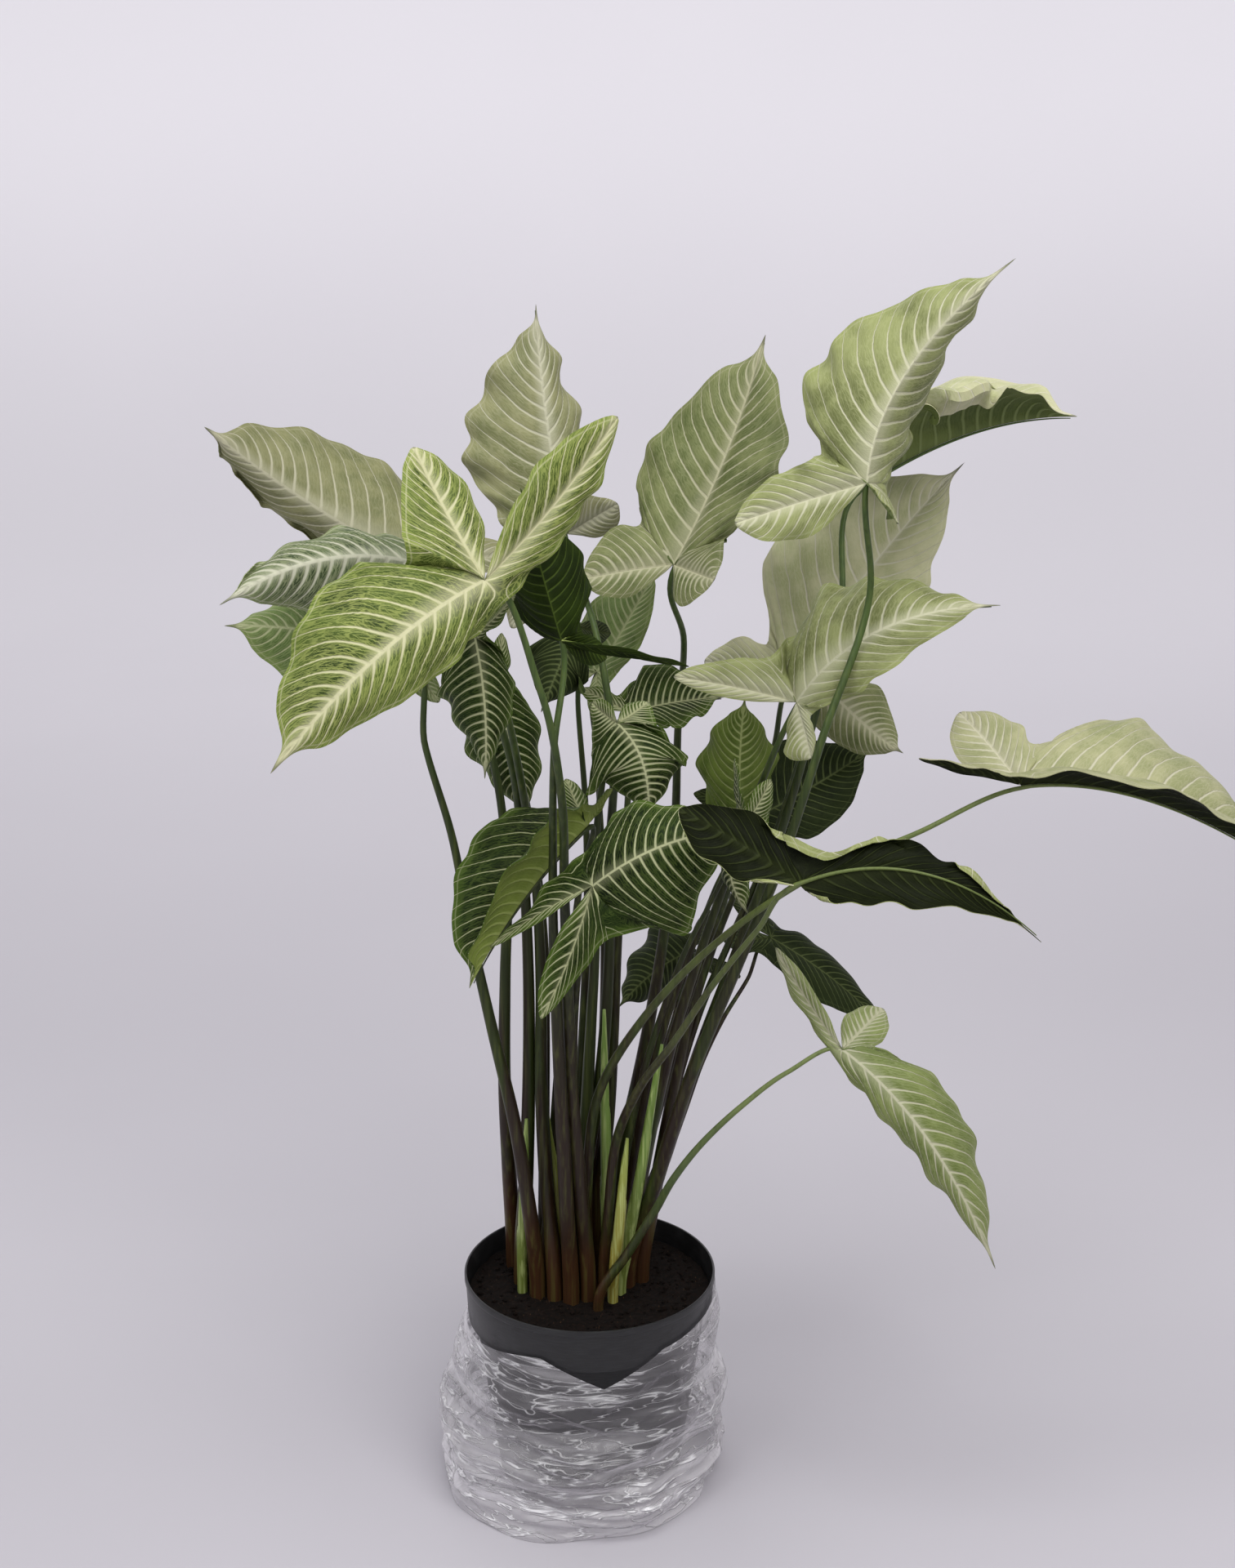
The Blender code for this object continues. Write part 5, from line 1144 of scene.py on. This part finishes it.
def soil_piece(feet):
    """The peat's crumbled surface over a plain body, with loose crumbs and bits of bark."""
    rng = np.random.default_rng(11)
    rings = 70
    around = 200
    edge = RIM_RADIUS - WALL - 0.0026
    verts = []
    for x, y, _ in turned_rings([(edge * r / rings, 0.0) for r in range(1, rings + 1)], around):
        rough = noise.fractal(Vector((x * 60, y * 60, 3.0)), 1.0, 2.2, 5)
        lump = noise.noise(Vector((x * 190, y * 190, 7.0)))
        verts.append((x, y, SOIL_TOP - 0.0026 + 0.0022 * rough + 0.0014 * lump))
    body = ((RIM_RADIUS - 0.0068, 0.196), (RIM_RADIUS - 0.0148, 0.186), (FOOT_RADIUS - 0.004, 0.0032))
    verts += turned_rings(body, around)
    faces = flipped(ring_quads(rings + len(body), around))
    top = len(verts)
    low = top - around
    verts += [(0.0, 0.0, SOIL_TOP - 0.002), (0.0, 0.0, 0.0032)]
    for k in range(around):
        n = (k + 1) % around
        faces += [(top, k, n), (top + 1, low + n, low + k)]
    look = Look("peat_crumb")
    blotch = look.noise(210.0, 5.0, 0.7).ramp(0.35, 0.70)
    straw = look.noise((900.0, 160.0, 500.0), 3.0).ramp(0.66, 0.76) * 0.6
    colour = look.painted("#080402", (blotch, "#190e08"), (straw, "#6d5138"))
    normal = look.bump(look.noise(700.0, 5.0, 0.7), 0.0012)
    look.finish(colour, 0.95, normal, Specular_IOR_Level=0.2)
    mesh = smooth_mesh("peat_bed", verts, faces, look.material)
    with edited(mesh) as bm:
        for _ in range(CRUMBS):
            angle = rng.uniform(0, 2 * pi)
            radius = (edge - 0.005) * rng.uniform(0, 1) ** 0.5
            x = radius * cos(angle)
            y = radius * sin(angle)
            size = 0.0009 + 0.0022 * rng.uniform() ** 2
            if min(np.hypot(x - fx, y - fy) - fr for fx, fy, fr in feet) < size * 1.6:
                continue
            crumb = bmesh.ops.create_icosphere(bm, subdivisions=1, radius=size)["verts"]
            stretch = rng.uniform(0.6, 1.5, 3)
            turn = rng.uniform(0, 2 * pi)
            for v in crumb:
                px = v.co.x * stretch[0] * (1 + 0.25 * rng.uniform(-1, 1))
                py = v.co.y * stretch[1] * (1 + 0.25 * rng.uniform(-1, 1))
                v.co.x = x + px * cos(turn) - py * sin(turn)
                v.co.y = y + px * sin(turn) + py * cos(turn)
                v.co.z = SOIL_TOP - 0.0014 + v.co.z * min(stretch[2], 0.9)
    shown("peat_bed", mesh, "soil")


def film_point(angle, share):
    """The film's surface: share 0 is its hem on the floor, 1 its open top edge."""
    front = (angle + pi / 2 + pi) % (2 * pi) - pi
    notch = 0.034 * max(0.0, 1 - abs(front - 0.12) / 0.50)
    top = 0.205 + 0.015 * cos(angle - 0.2) + 0.006 * sin(3 * angle + 1.0) - notch
    height = SLEEVE_THICKNESS + share * top
    collar = RIM_RADIUS - 0.0035 * min(1.0, max(0.0, (POT_HEIGHT - height) / COLLAR_HEIGHT))
    hem = 0.149 + 0.011 * cos(angle - pi) * (1 - 0.5 * share)
    radius = hem + 0.005 * sin(pi * share) + 0.003 * sin(5 * angle + 7 * share)
    radius += 0.004 * sin(2 * pi * 2.6 * share + 2 * sin(2 * angle)) + 0.002 * sin(9 * angle - 4 * share)
    around = Vector((cos(angle), sin(angle), share * 7.5))
    x, y, z = around
    drift = noise.noise(around * 0.9) * 1.4
    fold = 1 - 3.0 * abs(noise.noise(Vector((x * 0.9 + drift, y * 0.9, z * 1.2))))
    crease = 1 - 3.0 * abs(noise.noise(Vector((x * 2.6 + 9, y * 2.6, z * 1.1 + drift))))
    radius += (0.0055 * fold + 0.0028 * crease - 0.0030) * min(1.0, 6 * share + 0.3)
    radius = (collar + 0.0018) * share**3 + radius * (1 - share**3)
    height += 0.0015 * noise.noise(around * 2.5) * share
    return radius * cos(angle), radius * sin(angle), height


def film_piece():
    """The crumpled clear film, with painted highlights as near-white lines along its creases, and whiter
    toward the floor.
    """
    around = 300
    rings = 96
    places = [(2 * pi * k / around, r / (rings - 1)) for r in range(rings) for k in range(around)]
    look = Look("film_skin")
    folds = (
        (0.0, (5.5, 5.5, 58.0), 0.024),
        (0.40, (8.0, 8.0, 36.0), 0.011),
        (-0.5, (7.0, 7.0, 40.0), 0.009),
    )
    streaks = [look.noise(scale, 3.0, 0.55, 0.15, (lean, 0.6 * lean, 0.0)) for lean, scale, _ in folds]
    glinting_ridges = [abs(streak - 0.5).fall(0.0, fold[2]) for streak, fold in zip(streaks, folds)]
    ridge = glinting_ridges[0].most(glinting_ridges[1]).most(glinting_ridges[2])
    normal = look.bump(look.noise(24.0, 3.0, 0.5, 0.8) + ridge * 0.5, 0.006, 0.9)
    edge = look.node("LayerWeight", {"Blend": 0.30, "Normal": normal}, "Facing")
    cloudy = streaks[0].ramp(0.36, 0.66)
    alpha = edge.ramp(0.10, 0.85, 0.10, 0.72) + cloudy * 0.18
    # Painted highlight: along the fold lines the film is made more opaque and near-white (#fbfafc below),
    # standing in for the lamps' glints on the creases.
    alpha = alpha + look.place.axis(2).ramp(0.02, 0.12, 0.34, 0.0) + ridge * 0.30
    colour = look.painted("#cdc9ce", (cloudy, "#eae7eb"), (ridge, "#fbfafc"))
    look.finish(colour, 0.08, normal, Alpha=alpha, Specular_IOR_Level=0.7)
    verts = [film_point(*place) for place in places]
    mesh = smooth_mesh("film", verts, ring_quads(rings, around), look.material)
    shown("film_sleeve", mesh, "clear_sleeve")


def backdrop():
    """A pale floor that sweeps up into a pale wall well behind the plant, glowing of itself with painted
    light that grows stronger farther back and higher up.
    """
    wall = 4.6
    bend = 0.9
    columns = (-9.0, -2.0, 2.0, 9.0)
    line = [(-9.0, 0.0), (-2.0, 0.0), (0.6, 0.0), (wall - bend, 0.0)]
    for k in range(1, 17):
        angle = pi / 2 * k / 16
        line.append((wall - bend + bend * sin(angle), bend - bend * cos(angle)))
    line += [(wall, 2.0), (wall, 4.5)]
    look = Look("backdrop_paper")
    # Painted light: the backdrop's glow grows with distance behind the plant and with height, so the far
    # wall and its top look brighter as if lamplit.
    away = look.place.axis(1)
    glow = away.ramp(0.0, 0.5, 0.0, 0.04) + away.ramp(1.0, 4.2, 0.0, 0.22)
    glow = glow + look.place.axis(2).ramp(0.2, 1.5, 0.0, 0.16)
    painted_glow_colour = look.node("CombineXYZ", {0: glow * 0.98, 1: glow * 0.96, 2: glow})
    normal = look.bump(look.noise(420.0, 3.0), 0.0003, 0.2)
    look.finish(look.painted("#bcb9bf", (look.noise(1.2, 2.0), "#c2bfc5")), 0.85, normal,
                Specular_IOR_Level=0.2, Emission_Color=painted_glow_colour, Emission_Strength=1.0)
    verts = [(x, y, z) for y, z in line for x in columns]
    faces = ring_quads(len(line), len(columns), closed=False)
    piece = linked("backdrop", smooth_mesh("backdrop", verts, faces, look.material))


def lamp(name, place, aim, size, power, colour=(1.0, 1.0, 1.0)):
    data = bpy.data.lights.new(name, "AREA")
    data.shape = "RECTANGLE"
    data.size, data.size_y = size
    data.energy = power
    data.color = colour
    made = linked(name, data)
    made.location = place
    made.rotation_euler = (Vector(aim) - Vector(place)).to_track_quat("-Z", "Y").to_euler()


def light_and_camera():
    scene = bpy.context.scene
    scene.world = bpy.data.worlds.new("studio")
    scene.world.use_nodes = True
    sky = scene.world.node_tree.nodes["Background"].inputs
    sky["Color"].default_value = (0.97, 0.96, 1.0, 1.0)
    sky["Strength"].default_value = 0.54
    lamp("key", (1.15, -2.1, 3.0), (0.0, 0.0, 0.80), (2.0, 1.6), 40.0, (1.0, 0.985, 0.965))
    lamp("fill", (-2.1, -2.4, 2.0), (0.0, 0.0, 0.8), (2.0, 2.0), 27.0, (0.97, 0.98, 1.0))
    lamp("top", (0.2, -0.75, 3.4), (0.1, 0.25, 1.3), (2.6, 1.2), 42.0)
    lamp("back", (-0.8, 2.5, 2.7), (0.1, 0.0, 0.8), (2.0, 1.2), 11.0)
    data = bpy.data.cameras.new("camera")
    data.sensor_fit = "AUTO"
    data.sensor_width = 36.0
    data.lens = 53.25
    data.clip_end = 50.0
    scene.camera = linked("camera", data)
    scene.camera.location = EYE
    scene.camera.rotation_euler = (pi / 2 - SIGHT_TILT, 0.0, 0.0)
    scene.view_settings.view_transform = "Standard"


def main():
    count = STALK_POINTS - 2
    routes = [stalk_route(frond) for frond in FRONDS.values()]
    routes += [spear_route(*spear) for spear in SPEARS.values()]
    radii = [stalk_radius(name, count) for name in FRONDS] + [spear_radius(count)] * len(SPEARS)
    samples = [blade_samples(frond, k) for k, frond in enumerate(FRONDS.values())]
    owners = np.concatenate([np.full(len(points), k) for k, points in enumerate(samples)])
    routes = eased_apart(routes, radii, np.vstack(samples), owners)

    uppers = {tone: upper_look(tone) for tone in TONES}
    unders = {tone: under_look(tone) for tone in UNDERSIDES}
    stalks = {kind: stalk_look(kind) for kind in STALKS}
    feet = []
    for k, name in enumerate([*FRONDS, *SPEARS]):
        frond = FRONDS.get(name)
        points = whole_stalk(routes[k], frond)
        radius = np.r_[radii[k][0], radii[k]]
        feet.append((points[0][0], points[0][1], radii[k][0]))
        if frond is None:
            spear_piece(name, points, radius)
            continue
        upper, under = frond["tones"]
        looks = (uppers[upper], unders[under], stalks[STALK_OF.get(name, "green")])
        leaf_piece(name, frond, k, points, np.r_[radius, STALK_END_RADIUS], looks)
    pot_piece()
    soil_piece(feet)
    film_piece()
    backdrop()
    light_and_camera()


main()
